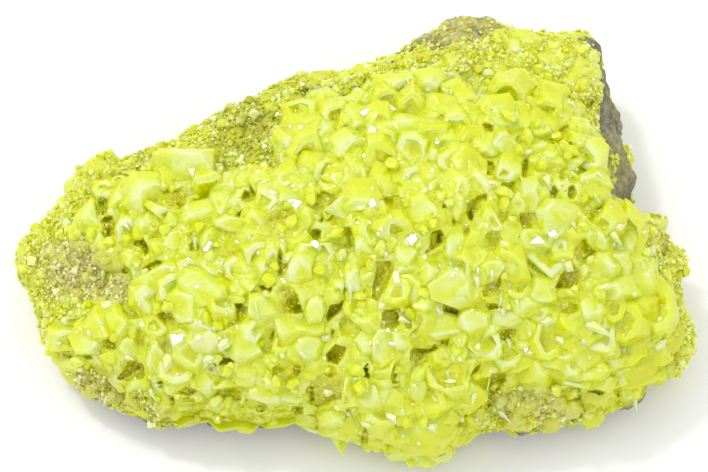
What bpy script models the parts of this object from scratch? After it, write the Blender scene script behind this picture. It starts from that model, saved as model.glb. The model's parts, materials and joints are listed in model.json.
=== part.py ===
"""Native sulfur crust on a plate of grey-brown volcanic matrix.

Two grown-together pieces: the matrix plate, a flat-based broken stone, and the
sulfur crust, one solid mass of fused, hollow-faced crystals that lies on the
plate and wraps part of its edges. The plate lies on its flat base.

Frame: +Z up, +X along the plate's length, origin at the centre of the bounding
box's base. The outline, the borders and the pits are drawn in drawing units on
a board that leans back from the vertical view by 24 degrees, and each drawn
point is carried onto the plate along the line through the station point.
"""
import math

import bmesh
import bpy
import numpy as np

MM = 0.001

# ---- driving dimensions (mm unless said otherwise)
SCALE = 6.43            # drawing units per millimetre on the mid plane
FOCAL = 1966.7          # station constant, drawing units
ELEV = math.radians(66.0)
MID = (354.5, 237.0)    # drawing point of the frame's axis
MID_Z = 15.0            # height of the mid plane
RIM_FRONT, RIM_BACK = 5.5, 14.5   # height of the widest line, front and back
APRON = 1.4             # thin sulfur coating over the matrix
MAIN = 3.6              # extra thickness of the main crystal mass
WRAP = 2.1              # how far the crust stands outside the matrix edge
BARE = 1.3              # how far bare matrix stands outside the crust edge
GAP = 0.30              # clearance between the two pieces
N_CRUST = 48            # grid cells across the crust's top sheet
N_ROCK = 24             # grid cells across each sheet of the matrix
FLAT = 0.66             # share of the radius that rests on the flat base

# Outline, clockwise from the left tip: u, v, and how bare the edge is (0 wrapped in
# sulfur, 1 bare matrix).
OUTLINE = [
    (17, 262, 0), (19, 248, 0), (27, 238, 0), (38, 225, .1), (50, 211, .5),
    (62, 200, .5), (75, 191, .5), (85, 184, .4), (90, 175, 0), (105, 174, 0),
    (112, 167, 0), (130, 158, .1), (142, 152, .4), (155, 150, .4), (170, 146, .2),
    (188, 131, .2), (198, 126, .3), (206, 120, .5), (222, 109, .6), (235, 102, .6),
    (252, 100, .5), (265, 90, .4), (278, 83, .4), (293, 80, .5), (305, 74, .5),
    (325, 73, .5), (345, 71, .5), (355, 69, .6), (375, 60, .7), (390, 53, .8),
    (402, 48, 1), (415, 37, 1), (435, 30, 1), (447, 22, 1), (462, 18, 1),
    (478, 16, 1), (492, 18, 1), (510, 23, .8), (524, 32, .5), (540, 33, .5),
    (555, 36, .4), (570, 33, .2), (590, 33, .6), (598, 42, 1), (604, 58, 1),
    (604, 74, 1), (612, 94, 1), (621, 118, 1), (626, 140, 1), (635, 164, 1),
    (638, 176, 1), (636, 190, 1), (640, 214, .8), (650, 226, .2), (662, 235, .1),
    (669, 250, .1), (675, 270, .1), (680, 290, .2), (684, 312, .2), (690, 326, .1),
    (693, 340, 0), (690, 353, 0), (680, 361, 0), (662, 370, 0), (656, 383, .6),
    (645, 398, 1), (630, 408, 1), (617, 410, .7), (600, 418, .4), (580, 423, .4),
    (560, 429, .6), (540, 434, 1), (520, 437, 1), (505, 433, .9), (490, 430, .4),
    (472, 435, .1), (458, 439, 0), (446, 450, 0), (436, 457, 0), (412, 456, 0),
    (395, 451, 0), (375, 445, 0), (358, 443, 0), (345, 438, 0), (325, 436, .2),
    (312, 430, .6), (295, 427, 1), (280, 428, 1), (262, 433, 1), (245, 431, 1),
    (215, 429, 1), (200, 424, .8), (182, 422, .8), (165, 428, 1), (148, 428, 1),
    (137, 419, 1), (118, 414, .8), (98, 403, .6), (80, 391, .4), (68, 380, .4),
    (58, 364, .4), (48, 350, .2), (43, 335, 0), (38, 318, 0), (34, 300, 0),
    (28, 283, 0), (19, 275, 0),
]

# Height of the matrix's top: u, v, height.
HEIGHTS = [
    (60, 225, 12), (45, 270, 12), (110, 240, 16), (85, 330, 12.5), (130, 180, 17),
    (200, 170, 18), (180, 270, 21), (150, 350, 16), (110, 385, 10), (200, 405, 11),
    (250, 120, 17), (310, 100, 19), (300, 200, 23), (300, 300, 22), (300, 400, 13),
    (410, 75, 21), (420, 150, 25.5), (420, 250, 26), (420, 350, 21), (420, 425, 12),
    (480, 40, 21), (565, 60, 22), (560, 150, 25), (560, 250, 25), (560, 350, 19),
    (560, 410, 12), (600, 90, 22), (620, 180, 21), (645, 260, 19), (655, 330, 15),
    (620, 390, 11.5), (500, 420, 12),
]

# Border of the sulfur coating over the matrix (it runs outside the plate where
# the crust wraps the edge).
COATING = [
    (0, 262), (10, 230), (60, 180), (120, 140), (200, 108), (300, 64), (352, 62),
    (392, 62), (416, 47), (436, 45), (458, 36), (478, 36), (498, 20), (520, 20),
    (560, 26), (592, 28), (599, 50), (602, 80), (598, 98), (586, 108), (593, 119),
    (603, 134), (613, 147), (620, 160), (611, 172), (614, 186), (610, 198),
    (622, 203), (636, 206), (642, 216), (690, 230), (720, 340), (680, 385),
    (655, 392), (625, 404), (610, 420), (545, 428), (520, 432), (490, 440),
    (460, 470), (340, 460), (312, 424), (285, 419), (262, 423), (240, 419),
    (205, 421), (180, 416), (158, 418), (150, 410), (110, 408), (60, 410),
    (20, 330), (0, 290),
]

# Border of the thick main crystal mass.
MAIN_MASS = [
    (86, 186), (92, 176), (120, 164), (140, 172), (160, 160), (180, 150), (195, 150),
    (214, 162), (218, 174), (238, 178), (262, 168), (276, 152), (272, 136),
    (284, 124), (286, 108), (304, 98), (322, 92), (350, 90), (372, 76), (404, 74),
    (432, 65), (458, 72), (466, 86), (480, 97), (490, 86), (500, 70), (520, 60),
    (540, 76), (556, 80), (576, 98), (588, 112), (603, 134), (613, 147), (618, 160),
    (610, 176), (614, 196), (640, 210), (660, 236), (674, 274), (684, 312),
    (690, 336), (684, 358), (660, 368), (640, 388), (614, 394), (596, 392),
    (566, 386), (540, 384), (504, 374), (492, 398), (470, 426), (440, 462),
    (400, 460), (330, 440), (322, 410), (308, 400), (300, 404), (262, 402),
    (230, 416), (196, 410), (160, 402), (122, 382), (84, 356), (46, 348),
    (38, 318), (80, 312), (122, 300), (130, 284), (104, 268), (92, 240), (96, 206),
]

# Pits of the crust's face: u, v, half-sizes, depth.
PITS = [
    (104, 207, 8, 9, 2.4), (109, 229, 8, 12, 2.6), (173, 197, 11, 12, 2.6),
    (142, 246, 8, 10, 2.4), (156, 267, 14, 5, 1.6), (206, 197, 14, 16, 1.0),
    (210, 247, 16, 9, 1.1), (132, 312, 10, 8, 1.8), (168, 320, 10, 8, 1.6),
    (110, 343, 9, 8, 1.8), (140, 336, 9, 12, 1.5), (132, 370, 12, 9, 2.2),
    (226, 361, 14, 6, 1.8), (222, 394, 16, 7, 2.0), (239, 313, 12, 14, 2.2),
    (242, 212, 8, 8, 1.6), (282, 217, 14, 15, 1.6), (323, 201, 15, 10, 2.0),
    (282, 266, 7, 12, 2.0), (292, 301, 12, 15, 2.2), (337, 307, 11, 14, 2.2),
    (316, 236, 8, 7, 1.6), (350, 239, 8, 13, 1.6), (383, 281, 12, 20, 2.2),
    (392, 319, 12, 12, 2.4), (410, 321, 9, 13, 1.4), (336, 354, 11, 11, 2.4),
    (367, 373, 6, 10, 1.8), (308, 152, 10, 11, 0.9), (331, 171, 12, 12, 0.9),
    (354, 154, 12, 12, 1.0), (378, 158, 9, 17, 1.2), (389, 204, 14, 9, 1.2),
    (415, 183, 12, 12, 0.8), (476, 207, 10, 13, 2.4), (436, 240, 9, 13, 2.2),
    (492, 288, 11, 11, 2.4), (494, 307, 11, 5, 1.8), (452, 310, 11, 6, 1.8),
    (490, 168, 8, 9, 2.0), (488, 127, 7, 7, 1.8), (528, 221, 11, 9, 1.8),
    (568, 277, 14, 13, 2.4), (584, 254, 11, 14, 1.8), (430, 351, 20, 9, 2.4),
    (508, 334, 11, 8, 2.0), (496, 392, 9, 18, 2.2), (574, 400, 14, 11, 2.2),
    (570, 306, 10, 10, 1.8), (592, 216, 9, 7, 1.5), (525, 168, 7, 12, 1.4),
    (509, 98, 12, 13, 1.2), (548, 111, 7, 9, 1.0), (562, 137, 14, 9, 1.4),
    (562, 195, 13, 10, 1.4), (612, 308, 13, 11, 1.6), (629, 238, 11, 13, 1.2),
    (605, 223, 14, 11, 1.0), (655, 306, 13, 20, 1.0), (324, 391, 17, 18, 2.6),
    (290, 372, 15, 11, 1.2), (485, 240, 15, 12, 1.3), (512, 191, 12, 10, 1.0),
    (538, 254, 13, 14, 1.0), (547, 339, 11, 14, 1.1), (484, 346, 12, 14, 0.9),
    (583, 345, 12, 18, 0.9), (640, 370, 20, 11, 1.0), (456, 368, 18, 14, 0.8),
    (406, 289, 10, 10, 0.9), (462, 131, 11, 11, 0.8), (480, 88, 8, 9, 2.0),
    (184, 391, 10, 6, 1.4), (177, 368, 9, 8, 1.2), (268, 345, 9, 12, 1.3),
]

DIST = FOCAL / SCALE
FWD = np.array([0.0, math.cos(ELEV), -math.sin(ELEV)])
UPV = np.array([0.0, math.sin(ELEV), math.cos(ELEV)])
STATION = np.array([0.0, 0.0, MID_Z]) - FWD * DIST


def on_plane(u, v, z):
    """Plan point (x, y) of a drawn point at height z."""
    u, v, z = np.broadcast_arrays(
        np.asarray(u, float), np.asarray(v, float), np.asarray(z, float)
    )
    a, b = (u - MID[0]) / FOCAL, (MID[1] - v) / FOCAL
    d = np.stack([a, b * UPV[1] + FWD[1], b * UPV[2] + FWD[2]], -1)
    t = (z - STATION[2]) / d[..., 2]
    return (STATION + d * t[..., None])[..., :2]


def smooth(t):
    t = np.clip(t, 0.0, 1.0)
    return t * t * (3 - 2 * t)


def rim_height(v):
    return RIM_FRONT + (RIM_BACK - RIM_FRONT) * smooth((457.0 - np.asarray(v, float)) / 440.0)


_o = np.array(OUTLINE, float)
RIM = on_plane(_o[:, 0], _o[:, 1], rim_height(_o[:, 1]))
CENTRE = np.array([3.0, -1.0])
_rel = RIM - CENTRE
_ang = np.arctan2(_rel[:, 1], _rel[:, 0])
_order = np.argsort(_ang)
_ANG = _ang[_order]
_RAD = np.hypot(_rel[:, 0], _rel[:, 1])[_order]
_BARE = _o[_order, 2]
_RIMZ = rim_height(_o[_order, 1])


def around(values, angle):
    """A value stated along the outline, at any angle."""
    return np.interp(angle, _ANG, values, period=2 * math.pi)


_h = np.array(HEIGHTS, float)
_HXY = on_plane(_h[:, 0], _h[:, 1], _h[:, 2])


def plateau(x, y):
    """Height of the matrix's top away from its edges."""
    d2 = (x[..., None] - _HXY[:, 0]) ** 2 + (y[..., None] - _HXY[:, 1]) ** 2
    w = np.exp(-d2 / (2 * 8.5 ** 2)) + 1e-5
    lumps = (
        0.55 * np.sin(0.42 * x + 0.9 * np.sin(0.21 * y + 1.0))
        + 0.45 * np.sin(0.47 * y + 1.1 * np.sin(0.25 * x) + 2.0)
        + 0.30 * np.sin(0.83 * x - 0.71 * y + 0.5)
    )
    return (w * _h[:, 2]).sum(-1) / w.sum(-1) + lumps


def on_top(u, v, extra):
    """Plan point of a drawn point on the crust's face."""
    z = np.full(np.shape(u), 20.0)
    for _ in range(12):
        p = on_plane(u, v, z)
        z = plateau(p[..., 0], p[..., 1]) + extra
    return p


def inside_distance(poly, x, y):
    """Distance to a closed polygon, positive inside it."""
    p = np.stack([x.ravel(), y.ravel()], -1)
    a, b = poly, np.roll(poly, -1, axis=0)
    best = np.full(len(p), 1e9)
    inside = np.zeros(len(p), bool)
    for (ax, ay), (bx, by) in zip(a, b):
        ex, ey = bx - ax, by - ay
        t = np.clip(((p[:, 0] - ax) * ex + (p[:, 1] - ay) * ey) / (ex * ex + ey * ey), 0, 1)
        best = np.minimum(best, np.hypot(p[:, 0] - ax - t * ex, p[:, 1] - ay - t * ey))
        if ay != by:
            cross = ((ay > p[:, 1]) != (by > p[:, 1])) & (
                p[:, 0] < (bx - ax) * (p[:, 1] - ay) / (by - ay) + ax
            )
            inside ^= cross
    return np.where(inside, best, -best).reshape(x.shape)


_c = np.array(COATING, float)
COAT_XY = on_top(_c[:, 0], _c[:, 1], APRON)
_m = np.array(MAIN_MASS, float)
MAIN_XY = on_top(_m[:, 0], _m[:, 1], APRON + 1.0)
_p = np.array(PITS, float)
PIT_XY = on_top(_p[:, 0], _p[:, 1], APRON + MAIN)


def crust_thickness(x, y):
    coat = smooth((inside_distance(COAT_XY, x, y) + 0.5) / 1.3)
    main = smooth(inside_distance(MAIN_XY, x, y) / 3.4)
    return -2.0 + (2.0 + APRON) * coat + MAIN * main * coat


def pit_depth(x, y):
    """How far the crust's face is sunk by its pits."""
    out = np.zeros_like(x)
    for (u, v, ru, rv, depth), (px, py) in zip(PITS, PIT_XY):
        rx, ry = max(ru / SCALE, 1.3), max(rv / SCALE / math.sin(ELEV), 1.3)
        q = ((x - px) / rx) ** 2 + ((y - py) / ry) ** 2
        out = np.maximum(out, depth * 1.15 * smooth(1.45 - q))
    return out


def grid(n):
    """(angle, share of the radius) of the points of an n by n sheet mapped onto a disc."""
    a = np.linspace(-1, 1, n + 1)
    a, b = np.meshgrid(a, a, indexing="ij")
    u, v = a * np.sqrt(1 - b * b / 2), b * np.sqrt(1 - a * a / 2)
    rho = np.minimum(np.hypot(u, v), 1.0)
    edge = (np.abs(a) == 1) | (np.abs(b) == 1)
    rho[edge] = 1.0
    # closer rows near the edge, where the sides turn down
    rho = 1 - (1 - rho) ** 1.12
    return np.arctan2(v, u), rho


def sheets(n, grow, top, bottom, rim_z):
    """A closed solid of two n by n sheets, one over the other, sewn at the rim."""
    ang, rho = grid(n)
    radius = around(_RAD, ang) + grow(ang)
    x = CENTRE[0] + rho * radius * np.cos(ang)
    y = CENTRE[1] + rho * radius * np.sin(ang)
    zr = rim_z(ang)
    ztop = top(x, y, ang, rho, zr)
    zbot = bottom(x, y, ang, rho, zr)
    edge = rho >= 1.0 - 1e-9
    ztop[edge] = zr[edge]
    index_top = np.arange((n + 1) ** 2).reshape(n + 1, n + 1)
    index_bot = index_top.copy()
    inner = ~edge
    index_bot[inner] = (n + 1) ** 2 + np.arange(inner.sum())
    verts = np.concatenate(
        [
            np.stack([x, y, ztop], -1).reshape(-1, 3),
            np.stack([x, y, zbot], -1)[inner],
        ]
    )
    faces = []
    for i in range(n):
        for j in range(n):
            t = [index_top[i, j], index_top[i + 1, j], index_top[i + 1, j + 1], index_top[i, j + 1]]
            b = [index_bot[i, j], index_bot[i, j + 1], index_bot[i + 1, j + 1], index_bot[i + 1, j]]
            # split each cell along the diagonal that points to the centre, so that
            # no corner cell lies wholly on the rim
            flip = (i < n / 2) != (j < n / 2)
            if flip:
                faces += [(t[0], t[1], t[3]), (t[1], t[2], t[3])]
                faces += [(b[0], b[1], b[3]), (b[1], b[2], b[3])]
            else:
                faces += [(t[0], t[1], t[2]), (t[0], t[2], t[3])]
                faces += [(b[0], b[1], b[2]), (b[0], b[2], b[3])]
    return verts, faces


def side(rho, power, root):
    return np.maximum(1 - rho ** power, 0.0) ** root


def rock_top(grow=0.0):
    def top(x, y, ang, rho, zr):
        return zr + (plateau(x, y) + grow - zr) * side(rho, 5.0, 0.55)
    return top


def rock_bottom(grow=0.0):
    def bottom(x, y, ang, rho, zr):
        t = np.clip((rho - FLAT) / (1 - FLAT), 0, 1)
        hollow = 0.35 * np.sin(0.5 * x + 1.3) * np.sin(0.45 * y) + 0.35
        z = zr * (1 - side(t, 2.2, 0.62)) + hollow * smooth(t * 3) * (1 - smooth(t * 1.6 - 0.6))
        return np.where(rho <= FLAT, 0.0, z) - grow
    return bottom


def crust_top(x, y, ang, rho, zr):
    t = crust_thickness(x, y)
    h = plateau(x, y) + t
    z = zr + (h - zr) * side(rho, 6.0, 0.5)
    mask = smooth(inside_distance(MAIN_XY, x, y) / 1.0 + 0.6)
    return z - pit_depth(x, y) * mask * smooth((1 - rho) * 12)


def crust_bottom(x, y, ang, rho, zr):
    low = np.minimum(1.6 + 4.4 * around(_BARE, ang), zr - 0.4)
    t = np.clip((rho - 0.8) / 0.2, 0, 1)
    return low + (zr - low) * (1 - side(t, 4.0, 0.6))


def add(name, verts, faces, colour, rough, helper=False):
    mesh = bpy.data.meshes.new(name)
    mesh.from_pydata([tuple(c * MM for c in v) for v in verts], [], faces)
    mesh.validate()
    obj = bpy.data.objects.new(name, mesh)
    bpy.context.scene.collection.objects.link(obj)
    if helper:
        obj.hide_render = True
        obj.display_type = "WIRE"
        return obj
    material = bpy.data.materials.new(name)
    material.use_nodes = True
    shader = material.node_tree.nodes["Principled BSDF"]
    shader.inputs["Base Color"].default_value = (*colour, 1)
    shader.inputs["Roughness"].default_value = rough
    shader.inputs["Metallic"].default_value = 0.0
    mesh.materials.append(material)
    mesh.shade_smooth()
    mesh.set_sharp_from_angle(angle=math.radians(40))
    return obj


for old in list(bpy.data.objects):
    bpy.data.objects.remove(old)

bare = lambda ang: around(_BARE, ang)
rim = lambda ang: around(_RIMZ, ang)

rock_mesh = sheets(N_ROCK, lambda a: -WRAP * (1 - bare(a)), rock_top(), rock_bottom(), rim)
swollen = sheets(
    N_ROCK, lambda a: -WRAP * (1 - bare(a)) + GAP, rock_top(GAP * 1.15), rock_bottom(GAP * 1.5), rim
)
outer = sheets(N_CRUST, lambda a: -BARE * bare(a), crust_top, crust_bottom, rim)

# Bounding box of the two pieces, to put the origin at its base centre.
every = np.concatenate([rock_mesh[0], outer[0]])
SHIFT = np.array(
    [-(every[:, 0].min() + every[:, 0].max()) / 2, -(every[:, 1].min() + every[:, 1].max()) / 2, 0.0]
)

rock = add("matrix_rock", rock_mesh[0] + SHIFT, rock_mesh[1], (0.30, 0.26, 0.20), 0.85)
cutter = add("matrix_rock_clearance", swollen[0] + SHIFT, swollen[1], None, None, helper=True)
crust = add("sulfur_crust", outer[0] + SHIFT, outer[1], (0.80, 0.84, 0.05), 0.35)
cut = crust.modifiers.new("seat on the matrix", "BOOLEAN")
cut.operation = "DIFFERENCE"
cut.solver = "EXACT"
cut.object = cutter

# The seat is cut for good, and the chips it leaves along the crust's thin border,
# which hold to nothing, are taken away.
graph = bpy.context.evaluated_depsgraph_get()
bm = bmesh.new()
bm.from_mesh(crust.evaluated_get(graph).to_mesh())
crust.modifiers.remove(cut)
bpy.data.objects.remove(cutter)
left, groups = set(bm.verts), []
while left:
    stack = [left.pop()]
    group = list(stack)
    while stack:
        for edge in stack.pop().link_edges:
            for vert in edge.verts:
                if vert in left:
                    left.discard(vert)
                    stack.append(vert)
                    group.append(vert)
    groups.append(group)
groups.sort(key=len)
bmesh.ops.delete(bm, geom=[v for group in groups[:-1] for v in group], context="VERTS")
bm.to_mesh(crust.data)
bm.free()
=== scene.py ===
import json
import math
import time

import bmesh
import bpy
import numpy as np
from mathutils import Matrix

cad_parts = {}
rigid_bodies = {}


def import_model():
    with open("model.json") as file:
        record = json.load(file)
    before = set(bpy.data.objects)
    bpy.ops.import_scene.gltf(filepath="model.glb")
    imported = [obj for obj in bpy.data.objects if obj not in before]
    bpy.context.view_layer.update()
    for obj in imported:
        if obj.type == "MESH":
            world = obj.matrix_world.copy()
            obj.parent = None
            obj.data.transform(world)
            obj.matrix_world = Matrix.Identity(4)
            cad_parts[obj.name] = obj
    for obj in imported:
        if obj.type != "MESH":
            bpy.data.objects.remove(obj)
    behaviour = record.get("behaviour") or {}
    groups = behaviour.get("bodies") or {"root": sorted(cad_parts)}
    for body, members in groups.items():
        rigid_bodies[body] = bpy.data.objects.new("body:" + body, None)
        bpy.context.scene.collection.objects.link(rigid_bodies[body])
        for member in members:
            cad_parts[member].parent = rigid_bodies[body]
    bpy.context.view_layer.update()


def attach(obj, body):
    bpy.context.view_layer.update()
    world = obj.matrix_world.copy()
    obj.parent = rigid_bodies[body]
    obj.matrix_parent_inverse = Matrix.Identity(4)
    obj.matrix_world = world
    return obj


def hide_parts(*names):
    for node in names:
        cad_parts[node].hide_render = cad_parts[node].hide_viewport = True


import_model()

MM = 0.001

# ------------------------------------------------------------------ the form
# The same outline, heights and borders as the solids, in drawing units on the
# camera's picture plane; lengths in mm; row frame.
SCALE = 6.43
FOCAL = 1966.7
ELEV = math.radians(66.0)
MID = (354.5, 237.0)
MID_Z = 15.0
RIM_FRONT, RIM_BACK = 5.5, 14.5
APRON, MAIN = 1.4, 3.6
WRAP, BARE = 2.1, 1.3
FLAT = 0.66
SHIFT = np.array([0.22576639, -3.52848807, 0.0])
SEED = 11

OUTLINE = [
    (17, 262, 0), (19, 248, 0), (27, 238, 0), (38, 225, .1), (50, 211, .5),
    (62, 200, .5), (75, 191, .5), (85, 184, .4), (90, 175, 0), (105, 174, 0),
    (112, 167, 0), (130, 158, .1), (142, 152, .4), (155, 150, .4), (170, 146, .2),
    (188, 131, .2), (198, 126, .3), (206, 120, .5), (222, 109, .6), (235, 102, .6),
    (252, 100, .5), (265, 90, .4), (278, 83, .4), (293, 80, .5), (305, 74, .5),
    (325, 73, .5), (345, 71, .5), (355, 69, .6), (375, 60, .7), (390, 53, .8),
    (402, 48, 1), (415, 37, 1), (435, 30, 1), (447, 22, 1), (462, 18, 1),
    (478, 16, 1), (492, 18, 1), (510, 23, .8), (524, 32, .5), (540, 33, .5),
    (555, 36, .4), (570, 33, .2), (590, 33, .6), (598, 42, 1), (604, 58, 1),
    (604, 74, 1), (612, 94, 1), (621, 118, 1), (626, 140, 1), (635, 164, 1),
    (638, 176, 1), (636, 190, 1), (640, 214, .8), (650, 226, .2), (662, 235, .1),
    (669, 250, .1), (675, 270, .1), (680, 290, .2), (684, 312, .2), (690, 326, .1),
    (693, 340, 0), (690, 353, 0), (680, 361, 0), (662, 370, 0), (656, 383, .6),
    (645, 398, 1), (630, 408, 1), (617, 410, .7), (600, 418, .4), (580, 423, .4),
    (560, 429, .6), (540, 434, 1), (520, 437, 1), (505, 433, .9), (490, 430, .4),
    (472, 435, .1), (458, 439, 0), (446, 450, 0), (436, 457, 0), (412, 456, 0),
    (395, 451, 0), (375, 445, 0), (358, 443, 0), (345, 438, 0), (325, 436, .2),
    (312, 430, .6), (295, 427, 1), (280, 428, 1), (262, 433, 1), (245, 431, 1),
    (215, 429, 1), (200, 424, .8), (182, 422, .8), (165, 428, 1), (148, 428, 1),
    (137, 419, 1), (118, 414, .8), (98, 403, .6), (80, 391, .4), (68, 380, .4),
    (58, 364, .4), (48, 350, .2), (43, 335, 0), (38, 318, 0), (34, 300, 0),
    (28, 283, 0), (19, 275, 0),
]

HEIGHTS = [
    (60, 225, 12), (45, 270, 12), (110, 240, 16), (85, 330, 12.5), (130, 180, 17),
    (200, 170, 18), (180, 270, 21), (150, 350, 16), (110, 385, 10), (200, 405, 11),
    (250, 120, 17), (310, 100, 19), (300, 200, 23), (300, 300, 22), (300, 400, 13),
    (410, 75, 21), (420, 150, 25.5), (420, 250, 26), (420, 350, 21), (420, 425, 12),
    (480, 40, 21), (565, 60, 22), (560, 150, 25), (560, 250, 25), (560, 350, 19),
    (560, 410, 12), (600, 90, 22), (620, 180, 21), (645, 260, 19), (655, 330, 15),
    (620, 390, 11.5), (500, 420, 12),
]

COATING = [
    (0, 262), (10, 230), (60, 180), (120, 140), (200, 108), (300, 64), (352, 62),
    (392, 62), (405, 47), (420, 42), (436, 45), (446, 42), (458, 37), (478, 38),
    (488, 32), (498, 20), (520, 20),
    (560, 26), (592, 28), (597, 40), (601, 52), (601, 70), (604, 88), (600, 97),
    (595, 106), (592, 113), (595, 119), (601, 123), (603, 136), (607, 143),
    (616, 154), (620, 161), (613, 170), (613, 178), (611, 188), (609, 197),
    (616, 203), (630, 205), (637, 212), (642, 219), (690, 230), (720, 340),
    (680, 385), (655, 390), (640, 394), (625, 402), (610, 412), (588, 418),
    (560, 427), (545, 428), (520, 432), (490, 440),
    (460, 470), (340, 460), (312, 424), (300, 421), (290, 419), (271, 423),
    (258, 418), (240, 418), (220, 420), (202, 422), (180, 417), (165, 414),
    (150, 411), (130, 405), (108, 402), (60, 410), (20, 330), (0, 290),
]

MAIN_MASS = [
    (86, 186), (92, 176), (120, 164), (140, 172), (160, 160), (180, 150), (195, 150),
    (206, 158), (214, 164), (218, 174), (238, 178), (250, 168), (262, 167),
    (276, 172), (278, 158), (270, 138),
    (284, 124), (286, 108), (304, 98), (322, 92), (350, 90), (370, 94), (372, 77),
    (404, 74), (420, 71), (430, 66), (445, 68), (458, 72), (464, 84), (472, 93),
    (480, 99), (489, 90), (495, 78), (506, 66), (520, 60),
    (532, 69), (541, 78), (556, 80), (566, 93), (578, 100), (586, 109), (594, 119),
    (603, 134), (613, 147), (618, 160),
    (610, 176), (614, 196), (634, 208), (650, 228), (662, 248), (670, 275), (676, 308),
    (682, 336), (676, 357), (656, 370), (640, 385), (622, 391), (608, 395), (586, 391),
    (566, 386), (545, 385), (522, 380), (504, 373), (494, 377), (488, 395), (482, 412),
    (470, 426), (455, 437), (437, 455),
    (400, 452), (360, 443), (330, 436), (320, 422), (310, 404), (300, 402), (262, 403),
    (240, 403), (215, 403), (196, 402), (180, 408), (166, 391), (150, 389), (140, 379),
    (120, 381), (105, 373), (94, 357), (80, 359), (60, 353), (47, 342), (45, 326),
    (62, 318), (84, 317), (100, 302), (122, 300), (130, 288), (128, 273), (106, 268),
    (98, 246), (84, 243), (70, 240), (64, 234), (76, 216), (90, 201),
]

DIST = FOCAL / SCALE
FWD = np.array([0.0, math.cos(ELEV), -math.sin(ELEV)])
UPV = np.array([0.0, math.sin(ELEV), math.cos(ELEV)])
VIEW = -FWD
STATION = np.array([0.0, 0.0, MID_Z]) - FWD * DIST


def on_plane(u, v, z):
    u, v, z = np.broadcast_arrays(np.asarray(u, float), np.asarray(v, float), np.asarray(z, float))
    a, b = (u - MID[0]) / FOCAL, (MID[1] - v) / FOCAL
    d = np.stack([a, b * UPV[1] + FWD[1], b * UPV[2] + FWD[2]], -1)
    t = (z - STATION[2]) / d[..., 2]
    return (STATION + d * t[..., None])[..., :2]


def drawn(p):
    """Drawing coordinates (u, v) of points in the design frame."""
    q = p - STATION
    w = q @ FWD
    return MID[0] + FOCAL * q[..., 0] / w, MID[1] - FOCAL * (q @ UPV) / w


def smooth(t):
    t = np.clip(t, 0.0, 1.0)
    return t * t * (3 - 2 * t)


def rim_height(v):
    return RIM_FRONT + (RIM_BACK - RIM_FRONT) * smooth((457.0 - np.asarray(v, float)) / 440.0)


_o = np.array(OUTLINE, float)
_rim = on_plane(_o[:, 0], _o[:, 1], rim_height(_o[:, 1]))
CENTRE = np.array([3.0, -1.0])
_rel = _rim - CENTRE
_a = np.arctan2(_rel[:, 1], _rel[:, 0])
_order = np.argsort(_a)
_ANG = _a[_order]
_RAD = np.hypot(_rel[:, 0], _rel[:, 1])[_order]
_BARE = _o[_order, 2]
_RIMZ = rim_height(_o[_order, 1])


def around(values, angle):
    return np.interp(angle, _ANG, values, period=2 * math.pi)


_h = np.array(HEIGHTS, float)
_HXY = on_plane(_h[:, 0], _h[:, 1], _h[:, 2])


def plateau(x, y):
    num = np.full(x.shape, 0.0)
    den = np.full(x.shape, 0.0)
    for (hx, hy), hz in zip(_HXY, _h[:, 2]):
        w = np.exp(-((x - hx) ** 2 + (y - hy) ** 2) / (2 * 8.5 ** 2)) + 1e-5
        num += w * hz
        den += w
    lumps = (
        0.55 * np.sin(0.42 * x + 0.9 * np.sin(0.21 * y + 1.0))
        + 0.45 * np.sin(0.47 * y + 1.1 * np.sin(0.25 * x) + 2.0)
        + 0.30 * np.sin(0.83 * x - 0.71 * y + 0.5)
    )
    return num / den + lumps


def on_top(u, v, extra):
    z = np.full(np.shape(u), 20.0)
    for _ in range(12):
        p = on_plane(u, v, z)
        z = plateau(p[..., 0], p[..., 1]) + extra
    return p


def inside_distance(poly, x, y):
    """Distance to a closed polygon, positive inside it."""
    px, py = x.ravel(), y.ravel()
    best = np.full(px.shape, 1e9)
    inside = np.zeros(px.shape, bool)
    for (ax, ay), (bx, by) in zip(poly, np.roll(poly, -1, axis=0)):
        ex, ey = bx - ax, by - ay
        t = np.clip(((px - ax) * ex + (py - ay) * ey) / (ex * ex + ey * ey + 1e-12), 0, 1)
        best = np.minimum(best, (px - ax - t * ex) ** 2 + (py - ay - t * ey) ** 2)
        if ay != by:
            inside ^= ((ay > py) != (by > py)) & (px < (bx - ax) * (py - ay) / (by - ay) + ax)
    best = np.sqrt(best)
    return np.where(inside, best, -best).reshape(x.shape)


COAT_XY = on_top(*np.array(COATING, float).T, APRON)
MAIN_XY = on_top(*np.array(MAIN_MASS, float).T, APRON + 1.0)


def side(rho, power, root):
    return np.maximum(1 - rho ** power, 0.0) ** root


# ------------------------------------------------------------- numpy noise
def _hash(ix, iy, iz, seed):
    h = (ix * 374761393 + iy * 668265263 + iz * 2147483647 + seed * 974634777) & 0xFFFFFFFF
    h = ((h ^ (h >> 13)) * 1274126177) & 0xFFFFFFFF
    h = ((h ^ (h >> 16)) * 2246822519) & 0xFFFFFFFF
    return ((h ^ (h >> 15)) & 0xFFFFFF) / float(0x1000000)


def value_noise(p, size, seed):
    """Smooth noise in -1..1, features about `size` mm across."""
    q = p / size
    i = np.floor(q).astype(np.int64)
    f = q - i
    f = f * f * f * (f * (f * 6 - 15) + 10)
    out = 0.0
    for dx in (0, 1):
        for dy in (0, 1):
            for dz in (0, 1):
                w = (f[..., 0] if dx else 1 - f[..., 0]) * (f[..., 1] if dy else 1 - f[..., 1]) \
                    * (f[..., 2] if dz else 1 - f[..., 2])
                out = out + w * _hash(i[..., 0] + dx, i[..., 1] + dy, i[..., 2] + dz, seed)
    return out * 2 - 1


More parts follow.
